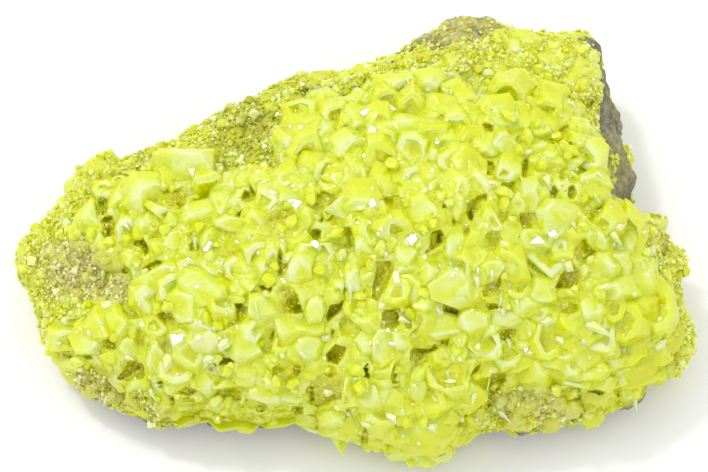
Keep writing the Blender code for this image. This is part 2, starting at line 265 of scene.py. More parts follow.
def grains(p, size, seed):
    """Rounded grains about `size` mm across: 1 at a grain's middle, 0 at its border."""
    q = p / size
    i = np.floor(q).astype(np.int64)
    best = np.full(p.shape[:-1], 9.0)
    for dx in (-1, 0, 1):
        for dy in (-1, 0, 1):
            for dz in (-1, 0, 1):
                c = i + np.array([dx, dy, dz])
                o = np.stack([_hash(c[..., 0], c[..., 1], c[..., 2], seed + k) for k in (1, 2, 3)], -1)
                best = np.minimum(best, ((c + o - q) ** 2).sum(-1))
    return np.clip(1 - best, 0, 1)


# ------------------------------------------------- a sheet wrapped on a disc
def sheet(nx, ny, profile, steps=260, turns=720, weight=None):
    """Points of an (nx+1) by (ny+1) grid wrapped over a body. profile(angle, s) gives
    (r, z) for s in 0..1, from the top's middle over the rim to the under edge; the
    grid's rings are spaced evenly along it."""
    ang = np.linspace(-math.pi, math.pi, turns, endpoint=False)
    s = np.linspace(0, 1, steps)
    A, S = np.meshgrid(ang, s, indexing="ij")
    r, z = profile(A, S)
    dr, dz = np.diff(r, axis=1), np.diff(z, axis=1)
    length = np.hypot(dr, dz)
    if weight is not None:
        length = length * weight(A[:, 1:], S[:, 1:])
    total = np.concatenate([np.zeros((turns, 1)), np.cumsum(length, 1)], 1)
    # space each direction's rings by its share of the arc length
    share = total / total[:, -1:]
    table_r = np.empty_like(r)
    table_z = np.empty_like(z)
    for k in range(turns):
        table_r[k] = np.interp(s, share[k], r[k])
        table_z[k] = np.interp(s, share[k], z[k])
    a = np.linspace(-1, 1, nx + 1)
    b = np.linspace(-1, 1, ny + 1)
    a, b = np.meshgrid(a, b, indexing="ij")
    u, v = a * np.sqrt(1 - b * b / 2), b * np.sqrt(1 - a * a / 2)
    rho = np.minimum(np.hypot(u, v), 1.0)
    rho[(np.abs(a) == 1) | (np.abs(b) == 1)] = 1.0
    # the grid's own directions are taken by angle round the middle
    phi = np.arctan2(v, u)
    turn = (phi + math.pi) / (2 * math.pi) * turns
    t0 = np.floor(turn).astype(int)
    ft = turn - t0
    t0 %= turns
    t1 = (t0 + 1) % turns
    q = rho * (steps - 1)
    q0 = np.minimum(np.floor(q).astype(int), steps - 2)
    fq = q - q0

    def pick(table):
        return (
            (table[t0, q0] * (1 - fq) + table[t0, q0 + 1] * fq) * (1 - ft)
            + (table[t1, q0] * (1 - fq) + table[t1, q0 + 1] * fq) * ft
        )

    r, z = pick(table_r), pick(table_z)
    return np.stack([CENTRE[0] + r * np.cos(phi), CENTRE[1] + r * np.sin(phi), z], -1)


def normals_of(p):
    di = np.gradient(p, axis=0)
    dj = np.gradient(p, axis=1)
    n = np.cross(di, dj)
    n /= np.linalg.norm(n, axis=-1, keepdims=True) + 1e-12
    return n, np.linalg.norm(di, axis=-1), np.linalg.norm(dj, axis=-1)


def blur(f, times):
    """Binomial blur of a grid of values."""
    for _ in range(times):
        g = np.pad(f, ((1, 1), (0, 0)), mode="edge")
        f = (g[:-2] + 2 * g[1:-1] + g[2:]) / 4
        g = np.pad(f, ((0, 0), (1, 1)), mode="edge")
        f = (g[:, :-2] + 2 * g[:, 1:-1] + g[:, 2:]) / 4
    return f


def wide_blur(f, radius):
    """Box blur applied three times, through running sums."""
    for _ in range(3):
        for axis in (0, 1):
            g = np.moveaxis(f, axis, 0)
            pad = np.concatenate([np.repeat(g[:1], radius + 1, 0), g, np.repeat(g[-1:], radius, 0)])
            c = np.cumsum(pad, 0)
            g = (c[2 * radius + 1:] - c[:-2 * radius - 1]) / (2 * radius + 1)
            f = np.moveaxis(g, 0, axis)
    return f


def outer_radius(angle, inset):
    """The outline's radius in a direction, less an inset."""
    return around(_RAD, angle) - inset


_even = np.linspace(-math.pi, math.pi, 720, endpoint=False)
_soft = around(_RAD, _even)
for _ in range(400):
    _soft = (np.roll(_soft, 1) + 2 * _soft + np.roll(_soft, -1)) / 4


def eased(radius, angle, rho):
    """Radius of the point a share rho out, whose outline detail fades inwards."""
    calm = np.interp(angle, _even, _soft, period=2 * math.pi)
    return rho * (calm + (radius - calm) * rho ** 4)


def bare(angle):
    return around(_BARE, angle)


def crust_level(x, y):
    """Height of the crust's face without its relief."""
    coat = smooth((inside_distance(COAT_XY, x, y) + 0.5) / 1.3)
    main = smooth(inside_distance(MAIN_XY, x, y) / 3.4)
    return plateau(x, y) - 2.0 + (2.0 + APRON) * coat + MAIN * main * coat


def crust_profile(angle, s):
    """Over the top to the widest line for s under 0.8, then down and under."""
    e = bare(angle)
    zr = around(_RIMZ, angle)
    low = np.minimum(1.9 + 4.4 * e, zr - 0.6)
    radius = outer_radius(angle, 0.5 + 0.9 * e)
    rho = np.minimum(s / 0.8, 1.0)
    rho = 1 - (1 - rho) ** 1.6
    r = eased(radius, angle, rho)
    x, y = CENTRE[0] + r * np.cos(angle), CENTRE[1] + r * np.sin(angle)
    h = crust_level(x, y) - 0.9
    z = zr + (h - zr) * side(rho, 6.0, 0.5)
    t = np.clip((s - 0.8) / 0.14, 0, 1)
    deep = 1.6 + 2.2 * e
    r = np.where(s > 0.8, radius - deep * (1 - np.cos(t * math.pi / 2)), r)
    z = np.where(s > 0.8, zr - (zr - low) * np.sin(t * math.pi / 2), z)
    under = np.clip((s - 0.94) / 0.06, 0, 1)
    r = r - under * 2.5
    z = z + under * (0.5 + 1.5 * e)
    return r, z


NX, NY = 680, 460
base = sheet(NX, NY, crust_profile)
_n, _si, _sj = normals_of(base)
base_n = np.stack([blur(_n[..., k], 6) for k in range(3)], -1)
base_n /= np.linalg.norm(base_n, axis=-1, keepdims=True)
facing = base_n @ VIEW
_w = smooth((facing - 0.15) / 0.4)[..., None]
grow = _w * VIEW + (1 - _w) * base_n
grow /= np.linalg.norm(grow, axis=-1, keepdims=True)
GU, GV = drawn(base)
step_i, step_j = np.maximum(_si, 0.05), np.maximum(_sj, 0.05)
in_main = smooth(inside_distance(MAIN_XY, base[..., 0], base[..., 1]) / 1.2 + 0.5)
in_coat = inside_distance(COAT_XY, base[..., 0], base[..., 1])
seen = facing > 0.12

_flat_uv = np.stack([GU, GV], -1).reshape(-1, 2)
_flat_seen = np.where(seen.ravel(), 0.0, 1e6)
_gi, _gj = np.unravel_index(np.arange(GU.size), GU.shape)


def nearest(u, v):
    """Grid index of the base point drawn at (u, v)."""
    k = np.argmin((_flat_uv[:, 0] - u) ** 2 + (_flat_uv[:, 1] - v) ** 2 + _flat_seen)
    return _gi[k], _gj[k]


def window(i, j, reach):
    """Slices of the grid within reach mm of a grid point."""
    wi = int(reach / step_i[i, j]) + 2
    wj = int(reach / step_j[i, j]) + 2
    return (slice(max(i - wi, 0), min(i + wi + 1, NX + 1)),
            slice(max(j - wj, 0), min(j + wj + 1, NY + 1)))


def frame_at(i, j, spin=0.0):
    """Right, up and out directions at a grid point, as rows."""
    out = grow[i, j]
    right = np.cross([0.0, 1.0, 0.0], out) if abs(out[1]) < 0.9 else np.cross([0.0, 0.0, 1.0], out)
    right /= np.linalg.norm(right)
    up = np.cross(out, right)
    c, s = math.cos(spin), math.sin(spin)
    return np.array([c * right + s * up, -s * right + c * up, out])


# Habit of a rhombic sulfur crystal: steep bipyramid, blunt bipyramid, base, dome.
HABIT = []
for sx in (-1, 1):
    for sy in (-1, 1):
        for sz in (-1, 1):
            HABIT.append((sx * .736, sy * .599, sz * .315, 1.00))
            HABIT.append((sx * .550, sy * .447, sz * .705, 1.12))
for sz in (-1, 1):
    HABIT.append((0, 0, sz, 1.30))
    for sy in (-1, 1):
        HABIT.append((0, sy * .885, sz * .465, 1.12))
HABIT = np.array(HABIT)


def turned(rng):
    """A random rotation."""
    q = rng.normal(size=4)
    q /= np.linalg.norm(q)
    w, x, y, z = q
    return np.array([
        [1 - 2 * (y * y + z * z), 2 * (x * y - z * w), 2 * (x * z + y * w)],
        [2 * (x * y + z * w), 1 - 2 * (x * x + z * z), 2 * (y * z - x * w)],
        [2 * (x * z - y * w), 2 * (y * z + x * w), 1 - 2 * (x * x + y * y)],
    ])


def reach_out(points, out, centre, normals, offsets):
    """Along each ray from a point outwards: where it leaves a convex solid, or -inf."""
    den = out @ normals.T
    num = offsets - (points - centre) @ normals.T
    with np.errstate(divide="ignore", invalid="ignore"):
        t = num / den
    leave = np.where(den > 1e-6, t, np.inf).min(-1)
    enter = np.where(den < -1e-6, t, -np.inf).max(-1)
    miss = ((np.abs(den) <= 1e-6) & (num < 0)).any(-1)
    return np.where((enter < leave) & ~miss, leave, -np.inf)


def add_crystal(disp, i, j, normals, offsets, lift, reach):
    """Union of the relief with a convex crystal standing at a grid point."""
    wi, wj = window(i, j, reach)
    shape = disp[wi, wj].shape
    centre = base[i, j] + grow[i, j] * lift
    t = reach_out(base[wi, wj].reshape(-1, 3), grow[wi, wj].reshape(-1, 3), centre, normals, offsets)
    t = t.reshape(shape)
    disp[wi, wj] = np.maximum(t, disp[wi, wj])


def plate_planes(rng, i, j, hx, hy, top, tilt=None, sides=None, lean=(0.25, 0.7)):
    """Planes of a blunt, plate-topped crystal with half-sizes hx by hy and its top at
    height top over its centre; tilt is the top's lean, as two slopes."""
    f = frame_at(i, j)
    n = sides or int(rng.integers(6, 9))
    start = rng.uniform(0, 2 * math.pi)
    normals, offsets = [], []
    for k in range(n):
        a = start + 2 * math.pi * (k + rng.uniform(-0.22, 0.22)) / n
        rise = rng.uniform(*lean)
        d = np.array([math.cos(a) / hx, math.sin(a) / hy, rise / (0.5 * (hx + hy))])
        size = np.linalg.norm(d)
        normals.append(d / size @ f)
        offsets.append((1.0 + rise * top * 0.6 / (0.5 * (hx + hy))) * rng.uniform(0.88, 1.05) / size)
    if tilt is None:
        tilt = rng.normal(0, 0.2, 2)
    d = np.array([-tilt[0], -tilt[1], 1.0])
    size = np.linalg.norm(d)
    normals.append(d / size @ f)
    offsets.append(top / size)
    for k in range(2):
        a = rng.uniform(0, 2 * math.pi)
        s = rng.uniform(0.45, 0.9)
        d = np.array([math.cos(a) * s, math.sin(a) * s, 1.0])
        size = np.linalg.norm(d)
        normals.append(d / size @ f)
        offsets.append((top + s * min(hx, hy) * rng.uniform(0.45, 0.7)) / size)
    normals.append(-f[2])
    offsets.append(4.0)
    return np.array(normals), np.array(offsets)


# ----------------------------------------------------- what grows on the crust
# Hollow-faced crystals: u, v, half-sizes of the hollow.
DIMPLES = [
    (208, 193, 15, 16), (125, 231, 8, 7), (190, 270, 6, 5), (150, 298, 8, 8),
    (175, 290, 12, 12), (178, 368, 12, 9), (190, 352, 9, 9), (307, 153, 11, 14),
    (330, 172, 12, 10), (354, 153, 12, 12), (388, 103, 9, 8), (413, 182, 10, 9),
    (412, 150, 10, 10), (510, 97, 11, 14), (528, 112, 8, 10), (549, 113, 8, 11),
    (458, 130, 10, 10), (430, 140, 10, 9), (258, 253, 8, 8), (230, 247, 20, 13),
    (315, 255, 12, 10), (395, 290, 10, 9), (352, 325, 11, 11), (407, 287, 10, 8),
    (542, 260, 16, 14), (627, 233, 9, 10), (600, 222, 11, 9), (548, 340, 12, 15),
    (480, 343, 14, 11), (447, 374, 18, 14), (620, 320, 18, 13), (625, 350, 12, 9),
    (648, 375, 15, 10), (583, 253, 8, 9), (68, 345, 14, 9), (570, 305, 9, 7),
    (380, 160, 10, 16), (366, 88, 7, 8), (349, 132, 7, 7), (610, 308, 9, 9),
    (655, 310, 13, 20), (668, 288, 6, 9), (589, 368, 12, 6), (410, 110, 8, 13),
    (336, 118, 9, 9), (395, 228, 11, 8), (455, 165, 10, 10), (585, 160, 10, 11),
    (262, 190, 10, 8), (430, 400, 13, 10), (380, 412, 12, 9), (345, 425, 9, 6),
    (90, 325, 9, 7), (505, 355, 9, 7), (600, 340, 9, 10), (238, 270, 9, 7),
]

# Plate-topped crystals: u, v, half-sizes, height of the top.
PLATES = [
    (149, 203, 16, 16, 1.5), (187, 167, 26, 14, 1.6), (165, 278, 16, 13, 1.5),
    (205, 290, 18, 14, 1.5), (185, 308, 18, 12, 1.3), (157, 356, 7, 15, 1.6),
    (203, 378, 12, 9, 1.4), (240, 224, 17, 7, 1.5), (345, 208, 17, 10, 1.5),
    (405, 131, 22, 9, 1.6), (487, 107, 7, 8, 1.5), (528, 85, 8, 5, 1.3),
    (505, 148, 15, 12, 1.6), (540, 152, 15, 8, 1.5), (570, 164, 10, 6, 1.4),
    (316, 307, 8, 11, 1.7), (290, 327, 13, 12, 1.5), (262, 310, 13, 10, 1.6),
    (530, 199, 8, 10, 1.5), (553, 220, 14, 12, 1.6), (490, 268, 10, 7, 1.5),
    (597, 268, 13, 13, 1.6), (597, 242, 7, 9, 1.5), (265, 392, 12, 8, 1.3),
    (290, 392, 10, 7, 1.2), (277, 360, 12, 12, 1.5), (505, 318, 12, 7, 1.5),
    (418, 385, 7, 11, 1.4), (610, 292, 11, 8, 1.6), (590, 309, 8, 10, 1.5),
    (553, 364, 12, 4, 1.5), (652, 352, 11, 11, 1.4), (450, 288, 20, 14, 1.7),
    (353, 282, 6, 12, 1.7), (420, 213, 17, 11, 1.6), (440, 325, 18, 11, 1.5),
    (470, 320, 12, 9, 1.5), (385, 345, 12, 16, 1.5), (540, 290, 16, 10, 1.5),
    (520, 305, 12, 8, 1.5), (365, 250, 9, 12, 1.5), (300, 270, 10, 12, 1.6),
    (200, 222, 14, 9, 1.5), (175, 240, 12, 10, 1.5), (206, 340, 14, 8, 1.6),
    (230, 335, 12, 7, 1.5), (180, 338, 10, 7, 1.7), (306, 345, 11, 10, 1.5),
    (430, 108, 14, 9, 1.5), (455, 100, 9, 10, 1.4), (325, 140, 9, 8, 1.5),
    (292, 128, 10, 9, 1.3), (292, 145, 8, 8, 1.4), (455, 250, 9, 14, 1.6),
    (350, 390, 13, 14, 1.4), (370, 340, 10, 10, 1.6), (250, 345, 12, 9, 1.5),
    (520, 360, 12, 8, 1.4), (615, 265, 10, 10, 1.5), (640, 285, 10, 12, 1.4),
    (560, 385, 14, 6, 1.3), (600, 383, 12, 6, 1.2), (125, 208, 10, 10, 1.3),
    (92, 222, 8, 10, 1.0), (405, 255, 8, 14, 1.6), (425, 275, 9, 9, 1.6),
    (130, 345, 9, 9, 1.3), (120, 325, 9, 8, 1.3), (100, 358, 9, 6, 1.2),
    (150, 330, 8, 8, 1.5), (465, 400, 10, 9, 1.2), (405, 430, 14, 9, 1.2),
    (440, 432, 12, 9, 1.1), (370, 395, 9, 9, 1.3), (395, 398, 8, 10, 1.3),
]

# Openings between crystals: (points u, v...), depth class. A short entry gives a
# middle and half-sizes instead of corners.
HOLES = [
    ((103, 207, 7, 10), 3), ((108, 228, 8, 13), 2.5),
    ((99, 218, 117, 222, 112, 236, 107, 242), 3),
    ((160, 187, 165, 196, 168, 208, 180, 210, 185, 205, 188, 195, 192, 183, 176, 190), 2),
    ((138, 236, 133, 245, 142, 248, 145, 257, 150, 252, 148, 244, 143, 236), 3),
    ((143, 271, 150, 263, 158, 260, 168, 262, 160, 265, 147, 273), 2),
    ((126, 271, 4, 3), 2), ((122, 303, 130, 307, 136, 311, 141, 318, 128, 320, 125, 312), 2.5),
    ((157, 314, 166, 311, 172, 313, 176, 320, 173, 328, 165, 322), 2),
    ((194, 247, 6, 5), 1.5), ((155, 222, 161, 221, 166, 235, 150, 240, 147, 232), 1),
    ((110, 185, 6, 5), 1.5), ((103, 341, 110, 338, 116, 339, 117, 343, 113, 346, 105, 342), 3),
    ((88, 357, 6, 2), 3), ((130, 330, 138, 327, 146, 333, 145, 345, 142, 351, 136, 340), 1.5),
    ((128, 362, 137, 359, 142, 368, 145, 373, 138, 372, 125, 379, 118, 379, 123, 370), 3),
    ((167, 345, 5, 6), 1.5), ((103, 388, 7, 4), 2), ((145, 398, 3, 2), 3),
    ((178, 391, 188, 385, 197, 391, 190, 396, 180, 393), 2), ((187, 398, 4, 2), 2),
    ((168, 394, 175, 396, 175, 404, 172, 407, 170, 402), 3), ((161, 384, 3, 4), 1.5),
    ((225, 362, 11, 5), 2.5), ((125, 402, 10, 3), 2),
    ((308, 206, 315, 194, 322, 191, 333, 194, 337, 199, 330, 205, 322, 210), 2),
    ((236, 214, 245, 209, 246, 218, 238, 217), 2.5), ((249, 197, 6, 6), 1.5),
    ((273, 119, 4, 3), 2), ((273, 105, 6, 4), 1.5), ((283, 107, 4, 3), 2),
    ((305, 92, 6, 5), 2), ((332, 93, 5, 5), 1),
    ((382, 197, 398, 197, 405, 205, 405, 211, 390, 211), 1.5),
    ((268, 213, 275, 210, 290, 205, 297, 215, 290, 225, 280, 232, 266, 230, 267, 220), 1.4),
    ((321, 219, 2.5, 3), 2), ((336, 222, 8, 4), 1.5),
    ((481, 124, 485, 122, 493, 124, 493, 131, 488, 133, 483, 128), 2.5),
    ((484, 160, 493, 161, 496, 168, 493, 175, 486, 176, 487, 168), 2.5),
    ((520, 140, 5, 6), 1.5), ((525, 168, 4, 10), 2),
    ((553, 135, 560, 128, 568, 124, 570, 131, 560, 137), 2), ((552, 141, 5, 4), 2),
    ((568, 145, 6, 4), 2), ((578, 171, 2.5, 3), 2), ((561, 175, 5, 5), 1.5),
    ((590, 104, 6, 5), 2.5),
    ((279, 247, 283, 257, 288, 266, 283, 276, 279, 276, 276, 266, 278, 258), 2.5),
    ((258, 286, 266, 284, 273, 287, 271, 292, 264, 294), 2.5),
    ((309, 235, 313, 230, 321, 230, 320, 240, 315, 242), 2),
    ((343, 228, 350, 227, 354, 238, 354, 252, 350, 250, 347, 240), 2),
    ((376, 262, 396, 260, 393, 272, 386, 288, 378, 302, 371, 298, 372, 285, 376, 270), 2.5),
    ((280, 286, 290, 284, 298, 295, 300, 303, 304, 313, 281, 314, 281, 300), 2.5),
    ((345, 288, 346, 305, 340, 312, 328, 322, 325, 316, 330, 305, 340, 302), 3),
    ((234, 298, 242, 303, 248, 308, 247, 318, 240, 324, 226, 328, 231, 318, 236, 312), 2.5),
    ((382, 310, 398, 308, 400, 325, 395, 329, 381, 328), 2.5), ((408, 320, 6, 10), 1.5),
    ((270, 325, 276, 330, 272, 345, 265, 356, 260, 340), 1.5), ((354, 330, 5, 7), 1.2),
    ((332, 332, 3, 3), 1.5), ((225, 251, 7, 6), 1),
    ((467, 203, 477, 196, 486, 194, 487, 200, 480, 208, 474, 213, 474, 220, 469, 222, 466, 212), 3),
    ((431, 232, 440, 229, 443, 235, 443, 243, 438, 247, 428, 253, 424, 253, 430, 245), 3),
    ((445, 206, 3.5, 2.5), 2), ((454, 222, 3, 4.5), 2), ((503, 214, 6, 10), 1.5),
    ((519, 214, 536, 215, 537, 223, 530, 229, 522, 229, 519, 222), 2),
    ((483, 285, 498, 278, 501, 274, 503, 290, 497, 298, 483, 297), 2.5),
    ((487, 232, 497, 232, 500, 240, 493, 252, 482, 248), 1.5), ((466, 230, 4, 8), 1.5),
    ((500, 182, 513, 183, 517, 192, 512, 198, 503, 190), 1.5),
    ((525, 259, 536, 267, 536, 271, 526, 263), 2),
    ((570, 263, 580, 270, 582, 278, 575, 287, 558, 290, 555, 287, 560, 275), 2.5),
    ((573, 241, 585, 239, 590, 247, 597, 251, 588, 262, 580, 268, 574, 255), 2),
    ((553, 193, 4, 7), 2), ((571, 193, 4, 7), 2),
    ((582, 213, 597, 209, 598, 213, 590, 222, 588, 215), 2),
    ((326, 354, 335, 344, 347, 347, 344, 356, 338, 365, 327, 362), 3),
    ((368, 362, 369, 372, 371, 378, 366, 381, 363, 376, 363, 368), 3),
    ((395, 363, 397, 375, 393, 382, 391, 376), 1.5),
    ((293, 364, 302, 363, 301, 372, 297, 377, 293, 374), 2), ((286, 372, 15, 11), 1),
    ((218, 390, 240, 386, 249, 387, 240, 400, 225, 400, 212, 398), 2),
    ((312, 378, 325, 371, 338, 372, 343, 382, 341, 398, 330, 402, 318, 408, 308, 402, 306, 390), 2),
    ((309, 385, 315, 386, 316, 402, 309, 402), 3),
    ((262, 408, 6, 5), 2), ((297, 410, 8, 5), 2), ((350, 410, 4, 3), 2), ((365, 434, 3, 6), 1.5),
    ((444, 304, 450, 306, 461, 305, 461, 310, 457, 316, 443, 312), 3),
    ((482, 303, 495, 303, 502, 308, 488, 311), 2.5),
    ((410, 350, 423, 341, 430, 346, 434, 344, 440, 348, 430, 352, 422, 360, 410, 362), 3),
    ((440, 340, 450, 338, 448, 347, 441, 347), 2),
    ((498, 330, 510, 328, 516, 329, 515, 338, 508, 342, 500, 340), 2.5),
    ((470, 376, 475, 366, 482, 362, 478, 373, 471, 380), 2),
    ((493, 374, 503, 377, 500, 390, 492, 405, 486, 410, 488, 392), 2.5),
    ((469, 409, 5, 4), 2), ((560, 312, 560, 303, 570, 302, 578, 305, 578, 312, 568, 315), 2),
    ((561, 397, 570, 387, 580, 388, 582, 405, 577, 412, 562, 403), 3),
    ((594, 393, 10, 3), 2.5), ((618, 393, 4, 5), 2),
    ((648, 251, 3.5, 8), 1.5), ((661, 250, 4, 8), 1.5),
]
DEPTHS = {1: 0.5, 1.2: 0.6, 1.4: 0.7, 1.5: 0.8, 2: 1.1, 2.5: 1.5, 3: 2.1}

# Facets that catch the light: u, v, half-sizes.
GLINTS = [
    (66, 269, 4, 4), (48, 292, 6, 5), (37, 298, 3, 3), (60, 293, 3, 3), (107, 290, 3, 3),
    (103, 270, 3, 3), (140, 297, 2, 7), (59, 343, 2, 6), (177, 337, 7, 6), (143, 324, 3, 3),
    (221, 341, 10, 5), (206, 356, 5, 4), (167, 358, 5, 4), (135, 379, 3, 3), (150, 389, 3, 3),
    (198, 337, 3, 3), (209, 135, 2, 3), (236, 128, 2, 3), (192, 170, 3, 3), (330, 84, 3, 2),
    (366, 112, 5, 2.5), (372, 132, 4, 6), (285, 184, 5, 2.5), (372, 203, 3.5, 4.5),
    (299, 222, 4, 7), (207, 246, 3, 5), (353, 283, 5, 14), (283, 281, 4, 3), (315, 244, 4, 3),
    (382, 304, 3, 4), (334, 321, 4, 3), (325, 335, 4, 3), (396, 277, 3, 6), (481, 216, 3, 5),
    (490, 182, 5, 1.8), (527, 152, 5, 1.8), (546, 177, 3, 3), (412, 239, 4, 4), (552, 233, 4, 3),
    (617, 248, 4, 4), (612, 232, 3, 3), (617, 226, 3, 2), (571, 103, 5, 2), (477, 346, 3, 3.5),
    (530, 351, 3, 3), (532, 360, 3, 4), (500, 411, 6, 3), (430, 426, 4, 2), (476, 418, 3, 2),
    (562, 418, 4, 3), (450, 381, 6, 2), (391, 415, 6, 4), (366, 423, 4, 2), (658, 344, 5, 3),
    (623, 348, 3, 3), (590, 323, 5, 2), (602, 287, 6, 2), (535, 240, 6, 3), (568, 262, 3, 8),
    (560, 338, 3, 10), (545, 320, 9, 3), (271, 193, 4, 3), (295, 203, 5, 3), (258, 172, 4, 3),
    (80, 368, 4, 3), (107, 396, 3, 3), (634, 398, 4, 2), (328, 390, 4, 3), (515, 50, 3, 2),
]

rng = np.random.default_rng(SEED)
disp = 0.45 + 0.30 * value_noise(base, 3.4, 5) + 0.12 * value_noise(base, 1.5, 6)
PX = SCALE


def corners(entry):
    if len(entry) == 4:
        u, v, ru, rv = entry
        n = int(rng.integers(5, 8))
        a = rng.uniform(0, 6.28) + np.arange(n) * 2 * math.pi / n + rng.uniform(-0.2, 0.2, n)
        k = rng.uniform(0.92, 1.18, n)
        return np.stack([u + ru * k * np.cos(a), v + rv * k * np.sin(a)], -1)
    return np.array(entry, float).reshape(-1, 2)


HOLES += [
    ((558, 390, 572, 386, 584, 395, 585, 414, 572, 421, 560, 410), 2), ((541, 399, 562, 396, 561, 407, 546, 410), 1.5),
    ((490, 373, 505, 372, 503, 386, 491, 387), 2), ((93, 386, 112, 384, 112, 393, 95, 394), 2),
    ((117, 398, 133, 397, 132, 406, 118, 407), 1.5), ((102, 340, 117, 338, 116, 350, 103, 349), 2),
    ((121, 364, 144, 362, 146, 378, 124, 381), 2), ((62, 352, 74, 352, 75, 362, 64, 364), 1.5),
]
HOLE_SHAPES = [(corners(entry), depth) for entry, depth in HOLES]

# Ordinary crystals fill the ground between the listed ones.
occupied = [(u, v, 0.85 * (a + b) / 2) for u, v, a, b in DIMPLES]
occupied += [(u, v, 0.85 * (a + b) / 2) for u, v, a, b, _ in PLATES]
fill = []
main_uv = np.array(MAIN_MASS, float)
coat_uv = np.array(COATING, float)
for _ in range(7000):
    u, v = rng.uniform(40, 690), rng.uniform(58, 460)
    r = rng.uniform(7.5, 13.0)
    if any((u - a) ** 2 + (v - b) ** 2 < (c + 0.55 * r) ** 2 for a, b, c in occupied):
        continue
    if inside_distance(main_uv, np.array([u]), np.array([v]))[0] < 2:
        continue
    if any((u - a[0]) ** 2 + (v - a[1]) ** 2 < 40 for a in (h[0].mean(0) for h in HOLE_SHAPES)):
        continue
    occupied.append((u, v, 0.8 * r))
    fill.append((u, v, r, rng.uniform() < 0.26))

for u, v, r, hollowed in fill:
    if hollowed:
        continue
    i, j = nearest(u, v)
    hx, hy = r * rng.uniform(0.9, 1.3) / PX, r * rng.uniform(0.9, 1.3) / PX
    normals, offsets = plate_planes(rng, i, j, hx, hy, rng.uniform(0.6, 1.05), lean=(0.5, 1.1))
    add_crystal(disp, i, j, normals, offsets, 0.0, 1.9 * max(hx, hy))
for u, v, a, b, top in PLATES:
    i, j = nearest(u, v)
    normals, offsets = plate_planes(rng, i, j, a / PX, b / PX, top - 0.55, lean=(0.4, 1.0))
    add_crystal(disp, i, j, normals, offsets, 0.0, 1.9 * max(a, b) / PX)

# The ground stays low under a hollow face.
for u, v, a, b in [(u, v, a + 3, b + 3) for u, v, a, b in DIMPLES] + [(u, v, 0.8 * r, 0.8 * r) for u, v, r, hollowed in fill if hollowed]:
    i, j = nearest(u, v)
    wi, wj = window(i, j, 1.3 * max(a, b) / PX)
    near = smooth((1 - np.hypot((GU[wi, wj] - u) / a, (GV[wi, wj] - v) / b)) / 0.35)
    disp[wi, wj] = disp[wi, wj] * (1 - near) + np.minimum(disp[wi, wj], 0.05) * near

druse = step_i * step_j * np.where(in_main < 0.6, 1.0, 0.0) * (
    (in_coat > -0.5) | ((facing < 0.15) & (base[..., 2] > 1.5)))
level = wide_blur(disp, 9)
ground = disp.copy()
deep = np.zeros(disp.shape)

# Openings between crystals, with flat, steep walls.
for shape, kind in HOLE_SHAPES:
    u, v = shape.mean(0)
    i, j = nearest(u, v)
    reach = np.abs(shape - [u, v]).max() / PX + 1.0
    wi, wj = window(i, j, reach * 1.15)
    d = inside_distance(shape, GU[wi, wj], GV[wi, wj]) / PX
    depth = DEPTHS[kind]
    du, dv = (GU[wi, wj] - u) / PX, (GV[wi, wj] - v) / PX
    s = rng.normal(0, 0.35, 4)
    floor = depth + s[0] * du + s[1] * dv - np.abs(s[2] * du + s[3] * dv) * 1.2
    floor = floor + 0.35 * value_noise(base[wi, wj], 0.8, 31)
    top = np.percentile(level[wi, wj][d > -1], 55) if (d > -1).any() else 0.0
    wall = 5.0 * d
    sunk = top + 0.15 - np.minimum(wall, floor)
    disp[wi, wj] = np.where(d > 0, np.minimum(disp[wi, wj], sunk), disp[wi, wj])
    deep[wi, wj] = np.maximum(deep[wi, wj], smooth(d / 0.16) * kind / 3.0)

KEY = np.array([-0.42, 0.40, 0.82])
KEY /= np.linalg.norm(KEY)
HALF = (KEY + VIEW) / np.linalg.norm(KEY + VIEW)

# The mass ends flush where bare rock shows at the right.
beside_rock = ((GU > 598) & (GV > 84) & (GV < 216) & (facing > 0)).astype(float)
beside_rock = wide_blur(beside_rock, 3)
disp = disp * (1 - beside_rock) + np.minimum(disp, -0.15) * beside_rock
disp = np.clip(disp, -4.2, 2.6)
disp = np.where(in_main > 0.5, 0.5 * disp + 0.5 * blur(disp, 1), disp)
crust_points = base + grow * disp[..., None]
print("crust relief", disp.min(), disp.max(), "fill", len(fill), "druse", druse.sum())


# --------------------------------------------------------------- the matrix
def rock_profile(angle, s):
    """Over the top to the widest line for s under 0.7, then down to the flat base."""
    zr = around(_RIMZ, angle)
    radius = outer_radius(angle, WRAP * (1 - bare(angle)) + 0.55)
    rho = np.minimum(s / 0.7, 1.0)
    rho = 1 - (1 - rho) ** 1.6
    r = eased(radius, angle, rho)
    x, y = CENTRE[0] + r * np.cos(angle), CENTRE[1] + r * np.sin(angle)
    z = zr + (plateau(x, y) - 0.4 - zr) * side(rho, 5.0, 0.55)
    t = np.clip((s - 0.7) / 0.3, 0, 1)
    low = 1 - t * (1 - FLAT)
    q = np.clip((low - FLAT) / (1 - FLAT), 0, 1)
    rl = np.where(t > 0, eased(radius, angle, low), r)
    zl = zr * (1 - side(q, 2.2, 0.62))
    return np.where(s > 0.7, rl, r), np.where(s > 0.7, zl, z)


